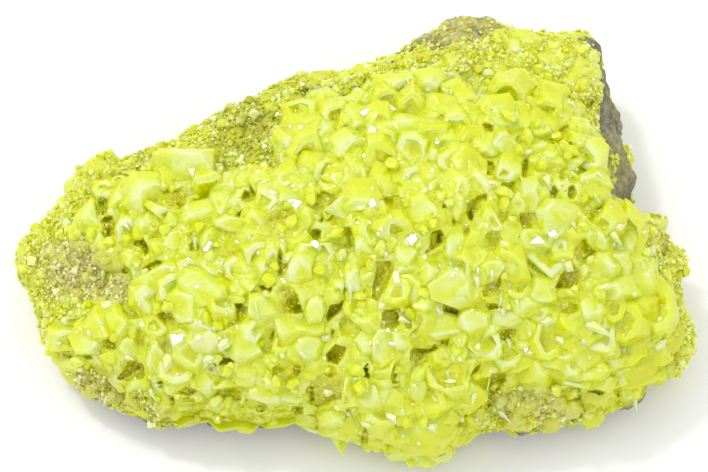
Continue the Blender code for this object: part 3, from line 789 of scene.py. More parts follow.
RX, RY = 420, 300
rock = sheet(RX, RY, rock_profile, weight=lambda a, s: np.where(s < 0.45, 0.35, 1.0))
rock_n, _, _ = normals_of(rock)
rock_n = np.stack([blur(rock_n[..., k], 3) for k in range(3)], -1)
rock_n /= np.linalg.norm(rock_n, axis=-1, keepdims=True)
lumps = 0.75 * value_noise(rock, 5.5, 51) + 0.45 * value_noise(rock, 2.2, 52)
broken = np.abs(value_noise(rock, 3.6, 54))
relief = lumps - 0.55 * smooth(1 - broken / 0.12) * 0.5
relief = relief + 0.34 * grains(rock, 1.25, 60) + 0.16 * value_noise(rock, 0.6, 57)
foot = smooth(rock[..., 2] / 1.8)
rock_points = rock + rock_n * ((relief - 0.35) * foot)[..., None]
rock_points[..., 2] = np.maximum(rock_points[..., 2], 0.0)
rock_points[..., 2] = np.where(rock[..., 2] < 0.05, 0.0, rock_points[..., 2])


def closed_mesh(name, points, middle, attributes, keep):
    """A mesh from a wrapped grid, its under side closed by a fan, thinned to `keep`
    triangles."""
    nx, ny = points.shape[0] - 1, points.shape[1] - 1
    count = (nx + 1) * (ny + 1)
    index = np.arange(count).reshape(nx + 1, ny + 1)
    ring = np.concatenate([index[:-1, 0], index[-1, :-1], index[:0:-1, -1], index[0, :0:-1]])
    flat = points.reshape(-1, 3)
    # two inner rings and a middle close the base
    parts = [flat]
    rings = [ring]
    for share in (0.85, 0.5):
        p = flat[ring] * share + np.array(middle) * (1 - share)
        p[:, 2] = middle[2] if share < 0.8 else flat[ring][:, 2] * 0.4 + middle[2] * 0.6
        rings.append(np.arange(len(ring)) + sum(len(q) for q in parts))
        parts.append(p)
    tip = sum(len(q) for q in parts)
    parts.append(np.array([middle], float))
    verts = np.concatenate(parts) + SHIFT
    a, b, c, d = index[:-1, :-1], index[1:, :-1], index[1:, 1:], index[:-1, 1:]
    quads = np.stack([a, b, c, d], -1).reshape(-1, 4)
    tris = []
    for outer, inner in zip(rings[:-1], rings[1:]):
        o2, i2 = np.roll(outer, -1), np.roll(inner, -1)
        tris.append(np.stack([o2, outer, inner], -1))
        tris.append(np.stack([o2, inner, i2], -1))
    last = rings[-1]
    tris.append(np.stack([np.roll(last, -1), last, np.full(len(last), tip)], -1))
    q1 = quads[:, [0, 1, 2]]
    q2 = quads[:, [0, 2, 3]]
    faces = np.concatenate([q1, q2] + tris)
    mesh = bpy.data.meshes.new(name)
    mesh.vertices.add(len(verts))
    mesh.vertices.foreach_set("co", (verts * MM).astype(np.float32).ravel())
    mesh.loops.add(faces.size)
    mesh.loops.foreach_set("vertex_index", faces.astype(np.int32).ravel())
    mesh.polygons.add(len(faces))
    mesh.polygons.foreach_set("loop_start", np.arange(0, faces.size, 3, dtype=np.int32))
    mesh.polygons.foreach_set("loop_total", np.full(len(faces), 3, np.int32))
    mesh.update(calc_edges=True)
    for key, grid in attributes.items():
        layer = mesh.attributes.new(key, "FLOAT", "POINT")
        values = np.zeros(len(verts), np.float32)
        values[:count] = grid.ravel()
        layer.data.foreach_set("value", values)
    obj = bpy.data.objects.new(name, mesh)
    bpy.context.scene.collection.objects.link(obj)
    if len(faces) > keep:
        thin = obj.modifiers.new("thin", "DECIMATE")
        thin.ratio = keep / len(faces)
        graph = bpy.context.evaluated_depsgraph_get()
        slim = bpy.data.meshes.new_from_object(obj.evaluated_get(graph))
        obj.modifiers.remove(thin)
        obj.data = slim
        bpy.data.meshes.remove(mesh)
    obj.data.shade_smooth()
    return obj


# Which way is out: the grid's own order may wind either way.
_c = np.array([base[NX // 2, NY // 2], base[NX // 2 + 1, NY // 2], base[NX // 2, NY // 2 + 1]])
assert np.cross(_c[1] - _c[0], _c[2] - _c[0])[2] > 0

shape_wide = wide_blur(disp, 6)
# Raised relief is drawn paler: partly the crust's own pale rims, partly painted light on the ridges.
proud = np.clip((disp - shape_wide) / 0.55, -1, 1)
gritty = 1 - blur(in_main, 2)


def patch(u, v, ru, rv, soft=0.5):
    """A soft-edged oval mask in drawing units."""
    return smooth((1 - np.hypot((GU - u) / ru, (GV - v) / rv)) / soft)


def patches(rows, soft=0.5):
    out = np.zeros(GU.shape)
    for u, v, ru, rv, k in rows:
        out = np.maximum(out, k * patch(u, v, ru, rv, soft))
    return out


# Where the druse is stained by the rock's dust, and where it is dull and olive; along the lower front edges that olive
# is painted shade.
beige = patches([
    (85, 272, 52, 34, 1.0), (110, 288, 34, 18, 0.9), (45, 262, 24, 20, 0.5), (70, 250, 30, 16, 0.7),
    (120, 262, 16, 18, 0.9), (60, 292, 26, 14, 0.7), (180, 342, 34, 12, 0.35), (90, 385, 44, 20, 0.5),
    (540, 405, 50, 22, 0.45), (616, 182, 10, 20, 0.7), (655, 245, 14, 22, 0.35),
])
olive_and_shade = patches([
    (240, 115, 50, 34, 0.7), (226, 150, 36, 24, 0.62), (262, 140, 26, 26, 0.62), (300, 86, 50, 18, 0.4),
    (150, 164, 26, 16, 0.45), (228, 172, 16, 9, 0.7), (590, 104, 12, 12, 0.55), (470, 46, 60, 14, 0.28),
    (200, 412, 120, 14, 0.85), (90, 392, 66, 26, 1.0), (540, 408, 66, 26, 1.0), (610, 168, 12, 12, 0.4),
    (40, 330, 14, 30, 0.3), (610, 402, 50, 16, 0.9),
])
vivid = patches([
    (380, 160, 11, 18, 1), (366, 88, 8, 10, 1), (349, 132, 8, 9, 1), (610, 308, 12, 11, 1),
    (655, 310, 16, 26, 1), (668, 288, 8, 11, 1), (615, 275, 9, 8, .8), (589, 368, 14, 8, .9),
    (410, 110, 9, 16, 1), (570, 52, 14, 8, .8), (580, 85, 12, 10, .8), (549, 113, 9, 12, .8),
    (528, 112, 9, 11, .8), (510, 97, 12, 15, .6), (388, 103, 10, 10, .8), (430, 140, 10, 10, .7),
    (600, 222, 12, 10, .8), (627, 233, 10, 12, .9), (430, 405, 26, 22, .5), (625, 350, 18, 14, .7),
    (640, 375, 24, 14, .6), (55, 335, 16, 22, .6), (120, 175, 26, 10, .5), (330, 172, 12, 10, .6),
    (307, 153, 11, 14, .6), (208, 193, 14, 14, .4), (447, 374, 18, 12, .7), (620, 320, 20, 14, .8), (648, 338, 46, 62, .9), (430, 415, 70, 40, .7), (560, 345, 40, 30, .5),
    (395, 290, 10, 9, .6), (190, 300, 30, 12, .3), (640, 300, 30, 40, .4),
])
# Plates drawn pale grey-white: a painted reflection of the softbox on faces turned towards it.
painted_sheen = patches([
    (505, 148, 16, 12, .8), (503, 214, 7, 11, .9), (530, 200, 10, 11, .9), (118, 250, 8, 6, 1),
    (540, 152, 14, 8, .6), (265, 392, 13, 9, .6), (545, 222, 14, 10, .5), (505, 318, 13, 7, .8),
    (345, 208, 16, 9, .5), (395, 262, 16, 6, .4), (203, 378, 12, 8, .5), (418, 385, 8, 11, .6),
    (353, 282, 7, 13, .6), (440, 262, 14, 8, .3), (240, 224, 16, 6, .4),
])
# How far a spot lies below the wide relief round it; the colour goes more saturated and darker there: painted shade in
# the low spots.
low_shade = np.clip(-(disp - wide_blur(disp, 16)) / 1.6, 0, 1)
crust = closed_mesh(
    "sulfur_crust_look", crust_points, (CENTRE[0], CENTRE[1], 8.0),
    {
        "proud": proud, "deep": np.clip(deep, 0, 1), "gritty": gritty, "low": low_shade,
        "beige": beige, "olive_and_shade": olive_and_shade, "vivid": vivid, "painted_sheen": painted_sheen,
    },
    90000,
)
RU, RV = drawn(rock)
dusted = smooth((1 - np.hypot((RU - 450) / 75.0, (RV - 28) / 26.0)) / 0.5)
dusted = np.maximum(dusted, 0.35 * smooth((1 - np.hypot((RU - 615) / 22.0, (RV - 170) / 50.0)) / 0.6))
dusted = dusted * smooth(rock_n[..., 2] * 3)
matrix = closed_mesh(
    "matrix_rock_look", rock_points, (CENTRE[0], CENTRE[1], 0.0),
    {"grain": np.clip(relief, -2, 2), "dusted": dusted,
     "under": smooth((inside_distance(COAT_XY, rock[..., 0], rock[..., 1]) - 0.4) / 0.8) * smooth(rock_n[..., 2] * 2)},
    150000,
)


# ------------------------------------------------------- crystals, face by face
from itertools import combinations

_TRIPLES = {}


def corners_of(n, d):
    """Corners of the convex solid n.p <= d."""
    if len(n) not in _TRIPLES:
        _TRIPLES[len(n)] = np.array(list(combinations(range(len(n)), 3))).T
    a, b, c = _TRIPLES[len(n)]
    m = np.stack([n[a], n[b], n[c]], 1)
    good = np.abs(np.linalg.det(m)) > 1e-3
    right = np.stack([d[a], d[b], d[c]], 1)[good]
    p = np.linalg.solve(m[good], right[..., None])[..., 0]
    p = p[(p @ n.T <= d + 1e-6).all(1)]
    _, first = np.unique(np.round(p / 0.004).astype(int), axis=0, return_index=True)
    return p[np.sort(first)]


def chamfered(n, d, width):
    """The planes of a solid and of narrow flats along its edges."""
    p = corners_of(n, d)
    on = (np.abs(p @ n.T - d) < 0.006).astype(int)
    shared = on.T @ on
    more_n, more_d = [], []
    for i, j in zip(*np.nonzero(np.triu(shared >= 2, 1))):
        cosine = float(n[i] @ n[j])
        if cosine > 0.95:
            continue
        m = n[i] + n[j]
        m /= np.linalg.norm(m)
        half = 0.5 * math.acos(max(min(cosine, 1.0), -1.0))
        edge_at = (p[(on[:, i] & on[:, j]) > 0] @ m).max()
        more_n.append(m)
        more_d.append(edge_at - 0.5 * width * math.tan(half))
    if not more_n:
        return n, d
    return np.concatenate([n, more_n]), np.concatenate([d, more_d])


def hull(points):
    """Corners and outward triangles of the convex hull of points."""
    bm = bmesh.new()
    for p in points:
        bm.verts.new(p)
    bmesh.ops.convex_hull(bm, input=bm.verts)
    loose = [v for v in bm.verts if not v.link_faces]
    bmesh.ops.delete(bm, geom=loose, context="VERTS")
    bmesh.ops.triangulate(bm, faces=bm.faces)
    bmesh.ops.recalc_face_normals(bm, faces=bm.faces)
    bm.verts.index_update()
    corners_ = np.array([v.co[:] for v in bm.verts])
    tris = np.array([[v.index for v in f.verts] for f in bm.faces])
    bm.free()
    return corners_, tris


def sound(tris):
    """Whether every edge has one face on each side."""
    ends = np.concatenate([tris[:, [0, 1]], tris[:, [1, 2]], tris[:, [2, 0]]]).astype(np.int64)
    size = ends.max() + 1
    there = np.sort(ends[:, 0] * size + ends[:, 1])
    back = np.sort(ends[:, 1] * size + ends[:, 0])
    return (np.diff(there) > 0).all() and (there == back).all() and (ends[:, 0] != ends[:, 1]).all()


def hull_of(planes):
    return hull(corners_of(planes[:, :3], planes[:, 3]))


def hopper(corners_, tris, n, d, rng, rim_share, depth):
    """A solid whose face on plane n.p = d is sunk in steps behind a raised rim. Also
    says, for each corner, how far down the hollow it is, or -1 on the outside."""
    on = np.abs(corners_ @ n - d) < 0.006
    top = on[tris].all(1)
    ring = np.nonzero(on)[0]
    if top.sum() < 1 or len(ring) < 4:
        return None
    p = corners_[ring]
    middle = p.mean(0)
    e1 = p[0] - middle
    e1 /= np.linalg.norm(e1)
    e2 = np.cross(n, e1)
    order = np.argsort(np.arctan2((p - middle) @ e2, (p - middle) @ e1))
    ring = ring[order]
    p = corners_[ring]
    k = len(ring)
    shift = rng.normal(0, 0.07, 2) * np.linalg.norm(p - middle, axis=1).mean()
    spread = 1 + 0.13 * rng.normal(size=k)
    levels = [
        (1 - rim_share, 0.0, 0.15), (1 - rim_share * 1.35, -0.5 * depth, 0.5),
        (1 - rim_share * 2.1, -0.92 * depth, 0.85), (0.22, -1.1 * depth, 1.0),
    ]
    verts, faces, down = [corners_], [tris[~top]], [np.full(len(corners_), -1.0)]
    last = ring
    count = len(corners_)
    lean = rng.normal(0, 0.18, 2)
    for share, drop, mark in levels:
        arm = (p - middle) * (share * (1 + (spread - 1)[:, None] * (1.5 - share)))
        q = middle + arm + (e1 * shift[0] + e2 * shift[1]) * (1 - share) * 2
        q = q + n * (drop + (arm @ e1 * lean[0] + arm @ e2 * lean[1])[:, None] * (drop != 0.0))
        now = np.arange(k) + count
        verts.append(q)
        down.append(np.full(k, mark))
        a, b = last, np.roll(last, -1)
        c, e = now, np.roll(now, -1)
        faces.append(np.stack([a, b, e], -1))
        faces.append(np.stack([a, e, c], -1))
        last, count = now, count + k
    verts.append((middle - n * depth * 1.2)[None])
    down.append(np.array([1.0]))
    faces.append(np.stack([last, np.roll(last, -1), np.full(k, count)], -1))
    return np.concatenate(verts), np.concatenate(faces), np.concatenate(down)


BLUNT = hull_of(np.array([h for h in HABIT if abs(abs(h[2]) - .315) < 1e-6] + [(0, 0, 1, 1.15), (0, 0, -1, 1.15)]))
SHARP = hull_of(np.array([h for h in HABIT if abs(abs(h[2]) - .315) < 1e-6]) * np.array([1, 1, 1.9, 1]))
RICH = hull_of(np.array([h for h in HABIT if abs(h[0]) > 0] + [(0, 0, 1, 1.25), (0, 0, -1, 1.25)]))


def mesh_from(name, verts, tris):
    mesh = bpy.data.meshes.new(name)
    mesh.vertices.add(len(verts))
    mesh.vertices.foreach_set("co", np.ascontiguousarray(verts, np.float32).ravel())
    mesh.loops.add(tris.size)
    mesh.loops.foreach_set("vertex_index", np.ascontiguousarray(tris, np.int32).ravel())
    mesh.polygons.add(len(tris))
    mesh.polygons.foreach_set("loop_start", np.arange(0, tris.size, 3, dtype=np.int32))
    mesh.polygons.foreach_set("loop_total", np.full(len(tris), 3, np.int32))
    mesh.update(calc_edges=True)
    return mesh


class Scatter:
    """Many small solids joined in one mesh."""

    def __init__(self):
        self.verts, self.tris, self.values, self.count = [], [], [], 0

    def put(self, template, place, size, turn, values):
        corners_, tris = template
        self.verts.append(corners_ * size @ turn.T + place)
        self.tris.append(tris + self.count)
        self.count += len(corners_)
        self.values.append(np.repeat([values], len(corners_), 0))

    def apart(self, name, keys):
        """The solids as objects of a collection of their own."""
        group = bpy.data.collections.new(name)
        for k, (corners_, tris, values) in enumerate(zip(self.verts, self.tris, self.values)):
            mesh = mesh_from(f"{name}_{k}", (corners_ + SHIFT) * MM, tris - tris.min())
            for c, key in enumerate(keys):
                mesh.attributes.new(key, "FLOAT", "POINT").data.foreach_set(
                    "value", np.ascontiguousarray(values[:, c], np.float32))
            group.objects.link(bpy.data.objects.new(f"{name}_{k}", mesh))
        return group

    def solid(self, corners_, tris, values):
        self.verts.append(corners_)
        self.tris.append(tris + self.count)
        self.count += len(corners_)
        self.values.append(values)

    def mesh(self, name, keys):
        verts = (np.concatenate(self.verts) + SHIFT) * MM
        tris = np.concatenate(self.tris)
        mesh = mesh_from(name, verts, tris)
        values = np.concatenate(self.values)
        for k, key in enumerate(keys):
            mesh.attributes.new(key, "FLOAT", "POINT").data.foreach_set("value", values[:, k].astype(np.float32))
        obj = bpy.data.objects.new(name, mesh)
        scene_collection = bpy.context.scene.collection
        scene_collection.objects.link(obj)
        mesh.shade_flat()
        return obj


def beside_holes(u, v, size):
    """Planes, in right-up-out shares, that keep a crystal at (u, v) clear of the open
    holes near it; None inside a hole."""
    found = []
    for shape, slack in [(h[0], -0.3) for h in HOLE_SHAPES] + [(main_uv, 1.0)]:
        border = slack > 0
        if not border and np.abs(shape.mean(0) - (u, v)).max() > 60:
            continue
        a, b = shape, np.roll(shape, -1, axis=0)
        e = b - a
        t = np.clip((((u, v) - a) * e).sum(1) / ((e * e).sum(1) + 1e-9), 0, 1)
        q = a + e * t[:, None]
        far = np.hypot(q[:, 0] - u, q[:, 1] - v)
        k = far.argmin()
        if (inside_distance(shape, np.array([u]), np.array([v]))[0] > 0) != border:
            return None
        if far[k] < 1.7 * size:
            du, dv = (q[k] - (u, v)) / (far[k] + 1e-9)
            found.append((du, -dv, 0.16, (far[k] + slack) / PX))
            # the next side of an outline that turns round the crystal
            turn = (q - (u, v)) @ (du, dv) / (far + 1e-9)
            rest = np.where(turn < 0.3, far, 1e9)
            k = rest.argmin()
            if rest[k] < 1.5 * size:
                du, dv = (q[k] - (u, v)) / (far[k] + 1e-9)
                found.append((du, -dv, 0.16, (far[k] + slack) / PX))
    return found


BAND = np.array([
    (604, 92), (601, 120), (605, 138), (612, 150), (616, 165), (618, 180), (628, 196), (638, 208), (648, 216),
    (668, 216), (668, 92),
], float)
rng = np.random.default_rng(SEED + 2)
big = Scatter()
FACES = ("pick", "height", "down", "crystal", "olive_and_shade", "beige", "vivid", "painted_sheen")
GROUND = ("deep", "gritty", "low", "proud")
top_level = disp.copy()


def stand(u, v, hx, hy, top, sunk=None, lean=(0.25, 0.7), tilt=None, sides=None, at=None, pale=None):
    """One crystal on the crust; sunk is the depth of its hollow face, in shares of its
    size."""
    i, j = at if at is not None else nearest(u, v)
    f = frame_at(i, j)
    n, d = plate_planes(rng, i, j, hx, hy, top, tilt=tilt, sides=sides, lean=lean)
    k_top = len(n) - 4
    d[-1] = 1.5
    if at is None:
        cuts = beside_holes(u, v, PX * max(hx, hy))
        if cuts is None:
            return
        for right, up, out, far in cuts:
            if far < 0.25 * min(hx, hy):
                return
            m = np.array([right, up, out]) @ f
            size = np.linalg.norm(m)
            n = np.concatenate([n, [m / size]])
            d = np.concatenate([d, [far / size]])
    if sunk is not None:
        # no second facets across a hollow face
        n = np.delete(n, [k_top + 1, k_top + 2], 0)
        d = np.delete(d, [k_top + 1, k_top + 2])
    add_crystal(top_level, i, j, n, d, 0.0, 1.9 * max(hx, hy))
    n_top, d_top = n[k_top].copy(), d[k_top]
    n2, d2 = chamfered(n, d, rng.uniform(0.14, 0.34))
    corners_, tris = hull(corners_of(n2, d2))
    if len(corners_) < 6:
        return
    down = np.full(len(corners_), -1.0)
    if sunk is not None:
        rim_share = min(0.75 / min(hx, hy), 0.34) * rng.uniform(0.75, 1.15)
        made = hopper(corners_, tris, n_top, d_top, rng, rim_share, sunk * min(hx, hy))
        if made is not None and sound(made[1]):
            corners_, tris, down = made
    if not sound(tris):
        print("skipped a crystal")
        return
    cu, cv = drawn(corners_ + base[i, j])
    if facing[i, j] > 0 and inside_distance(BAND, cu, cv).max() > 1.5:
        return
    height = np.clip(corners_ @ f[2] / max(top, 0.4), -1, 1.2)
    place = base[i, j]
    values = np.empty((len(corners_), len(FACES)))
    values[:, 0] = rng.uniform() if pale is None else pale
    values[:, 1] = height
    values[:, 2] = down
    values[:, 3] = 1.0
    for k, field in enumerate((olive_and_shade, beige, vivid, painted_sheen)):
        values[:, 4 + k] = field[i, j]
    big.solid(corners_ + place, tris, values)


for u, v, a, b, top in PLATES:
    stand(u, v, a * 1.3 / PX, b * 1.3 / PX, top + rng.uniform(-.35, .0), lean=(0.5, 1.1),
          tilt=rng.normal(0, 0.2, 2), pale=rng.uniform(0.6, 1.0))
for u, v, a, b in DIMPLES:
    stand(u, v, (a + 6.5) / PX, (b + 6.5) / PX, rng.uniform(0.9, 1.35), sunk=rng.uniform(0.11, 0.2),
          tilt=rng.normal(0, 0.16, 2), sides=int(rng.integers(6, 10)), lean=(0.3, 0.9), pale=rng.uniform(0.4, 0.9))
for u, v, r, hollowed in fill:
    hx, hy = r * rng.uniform(1.0, 1.6) / PX, r * rng.uniform(1.0, 1.5) / PX
    stand(u, v, hx, hy, rng.uniform(0.65, 1.1), lean=(0.6, 1.4), sunk=rng.uniform(0.12, 0.24) if hollowed else None,
          tilt=rng.normal(0, 0.3, 2))

# Larger crystals scattered among the drusy ones: middle, reach, how many, size.
for u0, v0, ru, rv, count, least, most in [
    (548, 82, 46, 38, 70, 0.5, 1.1), (440, 68, 62, 26, 30, 0.4, 0.8), (300, 88, 66, 24, 30, 0.35, 0.8),
    (78, 235, 42, 46, 36, 0.4, 0.9), (70, 330, 30, 40, 26, 0.4, 1.0), (640, 375, 46, 34, 44, 0.5, 1.1),
    (130, 400, 60, 16, 24, 0.5, 1.0), (560, 408, 60, 16, 26, 0.5, 1.1), (678, 300, 14, 50, 20, 0.5, 1.1),
]:
    for _ in range(count):
        u, v = u0 + ru * rng.uniform(-1, 1), v0 + rv * rng.uniform(-1, 1)
        w = inside_distance(coat_uv, np.array([u]), np.array([v]))[0]
        if w < 7 or inside_distance(main_uv, np.array([u]), np.array([v]))[0] > -3:
            continue
        size = rng.uniform(least, most)
        stand(u, v, size * rng.uniform(0.9, 1.3), size * rng.uniform(0.9, 1.3), 0.45 + 0.4 * size * rng.uniform(0.4, 1.0), lean=(0.3, 1.0),
              tilt=rng.normal(0, 0.3, 2), at=nearest(u, v))

# The sides of the mass that the drawing doesn't show.
spots = []
pool = np.argwhere((in_main > 0.6) & (facing < 0.45) & (base[..., 2] > 4.0))
rng.shuffle(pool)
for i, j in pool[:6000]:
    p = base[i, j]
    if 596 < GU[i, j] < 660 and 85 < GV[i, j] < 235 and facing[i, j] > 0:
        continue
    if all(((p - q) ** 2).sum() > r * r for q, r in spots[-400:]):
        size = rng.uniform(1.0, 2.0)
        spots.append((p, size * 1.35))
        stand(GU[i, j], GV[i, j], size * rng.uniform(0.9, 1.3), size * rng.uniform(0.9, 1.3), rng.uniform(0.4, 0.9),
              sunk=rng.uniform(0.25, 0.4) if rng.uniform() < 0.3 else None, tilt=rng.normal(0, 0.25, 2), at=(i, j))

# Smaller crystals close most of the ground that is still open.
gap = (step_i * step_j * (top_level < disp + 0.05) * (in_main > 0.5) * (deep < 0.05) * (base[..., 2] > 3)).ravel()
print("gaps", gap.sum())
flat_base, flat_out, flat_disp = base.reshape(-1, 3), grow.reshape(-1, 3), disp.ravel()
for k in rng.choice(gap.size, int(min(gap.sum() * 0.5, 200)), p=gap / gap.sum()):
    r = rng.uniform(0.5, 1.0)
    n = HABIT[:, :3] / np.array([1.0, rng.uniform(0.8, 1.0), rng.uniform(0.9, 1.5)])
    size = np.linalg.norm(n, axis=1)
    d = HABIT[:, 3] * rng.uniform(0.85, 1.15, len(n)) / size
    corners_, tris = hull(corners_of(n / size[:, None], d))
    if not sound(tris):
        continue
    values = np.tile([rng.uniform(0.2, 0.9), 0.4, -1.0, 1.0, olive_and_shade.ravel()[k], beige.ravel()[k],
                      vivid.ravel()[k], painted_sheen.ravel()[k]], (len(corners_), 1))
    place = flat_base[k] + flat_out[k] * (flat_disp[k] + rng.uniform(-0.35, 0.15) * r)
    big.solid(corners_ * r @ turned(rng).T + place, tris, values)

# The crystals and the crust they stand on become one closed body.
started = time.time()
group = big.apart("crystal", FACES)
for key, value in (("pick", 0.4), ("height", 0.0), ("down", -1.0), ("crystal", 0.0)):
    crust.data.attributes.new(key, "FLOAT", "POINT").data.foreach_set(
        "value", np.full(len(crust.data.vertices), value, np.float32))
for obj in group.objects:
    for key in GROUND:
        obj.data.attributes.new(key, "FLOAT", "POINT")
bpy.context.scene.collection.children.link(group)
join = crust.modifiers.new("join", "BOOLEAN")
join.operation = "UNION"
join.solver = "MANIFOLD"
join.operand_type = "COLLECTION"
join.collection = group
graph = bpy.context.evaluated_depsgraph_get()
united = bpy.data.meshes.new_from_object(crust.evaluated_get(graph))
crust.modifiers.remove(join)
print("united", len(crust.data.polygons), "and", sum(len(o.data.polygons) for o in group.objects),
      "gives", len(united.polygons), "in", round(time.time() - started, 1), [a.name for a in united.attributes])
for obj in list(group.objects):
    data = obj.data
    bpy.data.objects.remove(obj)
    bpy.data.meshes.remove(data)
bpy.data.collections.remove(group)
crust.data = united
crust.data.shade_smooth()
crust.data.set_sharp_from_angle(angle=math.radians(17))
uncovered = (top_level < disp + 0.05)

# Small facets square to the key light's reflection, on whatever stands highest there.
from mathutils import Vector
from mathutils.bvhtree import BVHTree

trees = []
for obj in (crust,):
    verts_ = np.empty(len(obj.data.vertices) * 3, np.float32)
    obj.data.vertices.foreach_get("co", verts_)
    trees.append(BVHTree.FromPolygons(
        [Vector(c) for c in (verts_.reshape(-1, 3).astype(float) / MM - SHIFT)],
        [tuple(p.vertices) for p in obj.data.polygons]))


def hit(u, v):
    ray = (u - MID[0]) / FOCAL * np.array([1.0, 0, 0]) + (MID[1] - v) / FOCAL * UPV + FWD
    ray /= np.linalg.norm(ray)
    best = None
    for tree in trees:
        place, _, _, far = tree.ray_cast(Vector(STATION), Vector(ray))
        if place is not None and (best is None or far < best[1]):
            best = (np.array(place), far)
    return None if best is None else best[0]


sparkle = Scatter()
spots = []
for u, v, a, b in GLINTS:
    most = 6.0 if inside_distance(main_uv, np.array([u]), np.array([v]))[0] > 9 else 1.8
    spots.append((u, v, min(a, most), min(b, most)))
for _ in range(340):
    u, v = rng.uniform(40, 690), rng.uniform(60, 450)
    if inside_distance(main_uv, np.array([u]), np.array([v]))[0] > 3:
        spots.append((u, v, rng.uniform(0.7, 1.9), rng.uniform(0.7, 1.9)))
for u, v, a, b in spots:
    place = hit(u, v)
    if place is None:
        continue
    out = HALF + rng.normal(0, 0.03, 3)
    out /= np.linalg.norm(out)
    right = np.cross(UPV, out)
    right /= np.linalg.norm(right)
    up = np.cross(out, right)
    c, s_ = math.cos(rng.uniform(-0.6, 0.6)), math.sin(rng.uniform(-0.6, 0.6))
    right, up = c * right + s_ * up, -s_ * right + c * up
    n, d = [out, -out], [0.10, 0.25 + 0.08 * (a + b) / 2]
    for k in range(int(rng.integers(4, 7))):
        q = 2 * math.pi * k / 5 + rng.uniform(-0.35, 0.35)
        m = math.cos(q) * right / (a / PX) + math.sin(q) * up / (b / PX) + 0.5 * out / (0.5 * (a + b) / PX)
        size = np.linalg.norm(m)
        n.append(m / size)
        d.append(1.0 / size)
    points = corners_of(np.array(n), np.array(d))
    if len(points) < 6 or np.abs(points).max() > 4:
        continue
    corners_, tris = hull(points)
    values = np.tile([0.9, 1.0, -1.0, 1.0, 0.0, 0.0, 0.0, 0.0], (len(corners_), 1))
    sparkle.solid(corners_ + place, tris, values)
glints = sparkle.mesh("sulfur_facets", FACES)

# ------------------------------------------------------- the smallest crystals
rng = np.random.default_rng(SEED + 1)
small = Scatter()
KEYS = ("pick", "olive_and_shade", "beige", "vivid", "inner")
share = (druse / druse.sum()).ravel()
area = druse.sum()
flat_olive_and_shade, flat_beige, flat_vivid = olive_and_shade.ravel(), beige.ravel(), vivid.ravel()
flat_deep = np.clip(deep.ravel() * 1.2, 0, 1)
flat_points = crust_points.reshape(-1, 3)
flat_grow = grow.reshape(-1, 3)
in_box = flat_points[:, 2]
for k in rng.choice(share.size, int(area * 1.55), p=share):
    r = rng.uniform(0.20, 0.38) if rng.uniform() < 0.95 else rng.uniform(0.45, 0.75)
    place = flat_points[k] + flat_grow[k] * rng.uniform(-0.25, 0.2) * r
    small.put(SHARP if r < 0.34 else BLUNT if rng.uniform() < 0.6 else RICH, place, r, turned(rng),
              (rng.uniform(), flat_olive_and_shade[k], flat_beige[k], flat_vivid[k], flat_deep[k]))
for k in rng.choice(share.size, int(area * 1.6), p=share):
    r = rng.uniform(0.13, 0.26)
    place = flat_points[k] + flat_grow[k] * rng.uniform(0.1, 0.35)
    small.put(SHARP, place, r, turned(rng), (rng.uniform(), flat_olive_and_shade[k], flat_beige[k], flat_vivid[k], flat_deep[k]))
bare_rock = BVHTree.FromPolygons(
    [Vector(v.co) / MM - Vector(SHIFT) for v in matrix.data.vertices], [tuple(p.vertices) for p in matrix.data.polygons])
us, vs = rng.uniform(15, 700, 26000), rng.uniform(12, 462, 26000)
within = inside_distance(coat_uv, us, vs)
top_dust = (1 - np.hypot((us - 450) / 62.0, (vs - 28) / 22.0)) > 0
for u, v, w, dusty in zip(us, vs, within, top_dust):
    if w < 0.5 and not dusty:
        continue
    if w > 45 and not (v > 370):
        continue
    ray = (u - MID[0]) / FOCAL * np.array([1.0, 0, 0]) + (MID[1] - v) / FOCAL * UPV + FWD
    ray /= np.linalg.norm(ray)
    place, _, _, far = bare_rock.ray_cast(Vector(STATION), Vector(ray))
    if place is None:
        continue
    over = trees[0].ray_cast(Vector(STATION), Vector(ray))
    if over[3] is not None and over[3] < far:
        continue
    if w < 0.5 and rng.uniform() > 0.35:
        continue
    r = rng.uniform(0.15, 0.36)
    small.put(SHARP if r < 0.3 else BLUNT, np.array(place) + rng.normal(0, 0.05, 3), r, turned(rng),
              (rng.uniform(), 0.6 if w < 0.5 else 0.3, 0.5 if w < 0.5 else 0.0, 0.0, 0.0))
pits = (step_i * step_j * uncovered * (in_main > 0.5) * (0.15 + deep) * (base[..., 2] > 2)).ravel()
print("open ground", pits.sum())
for k in rng.choice(pits.size, int(min(pits.sum() * 4.0, 1400)), p=pits / pits.sum()):
    r = rng.uniform(0.09, 0.2)
    place = flat_points[k] + flat_grow[k] * rng.uniform(-0.5, 0.1) * r
    small.put(SHARP if r < 0.28 else BLUNT, place, r, turned(rng), (rng.uniform(), 0.0, 0.0, flat_vivid[k], 1.0))
grit = small.mesh("sulfur_druse", KEYS)
print("faces", *((o.name, len(o.data.polygons)) for o in (crust, matrix, glints, grit)))


# --------------------------------------------------------------- materials
def lin(r, g, b):
    out = []
    for c in (r, g, b):
        c /= 255.0
        out.append(c / 12.92 if c <= 0.04045 else ((c + 0.055) / 1.055) ** 2.4)
    return (*out, 1.0)


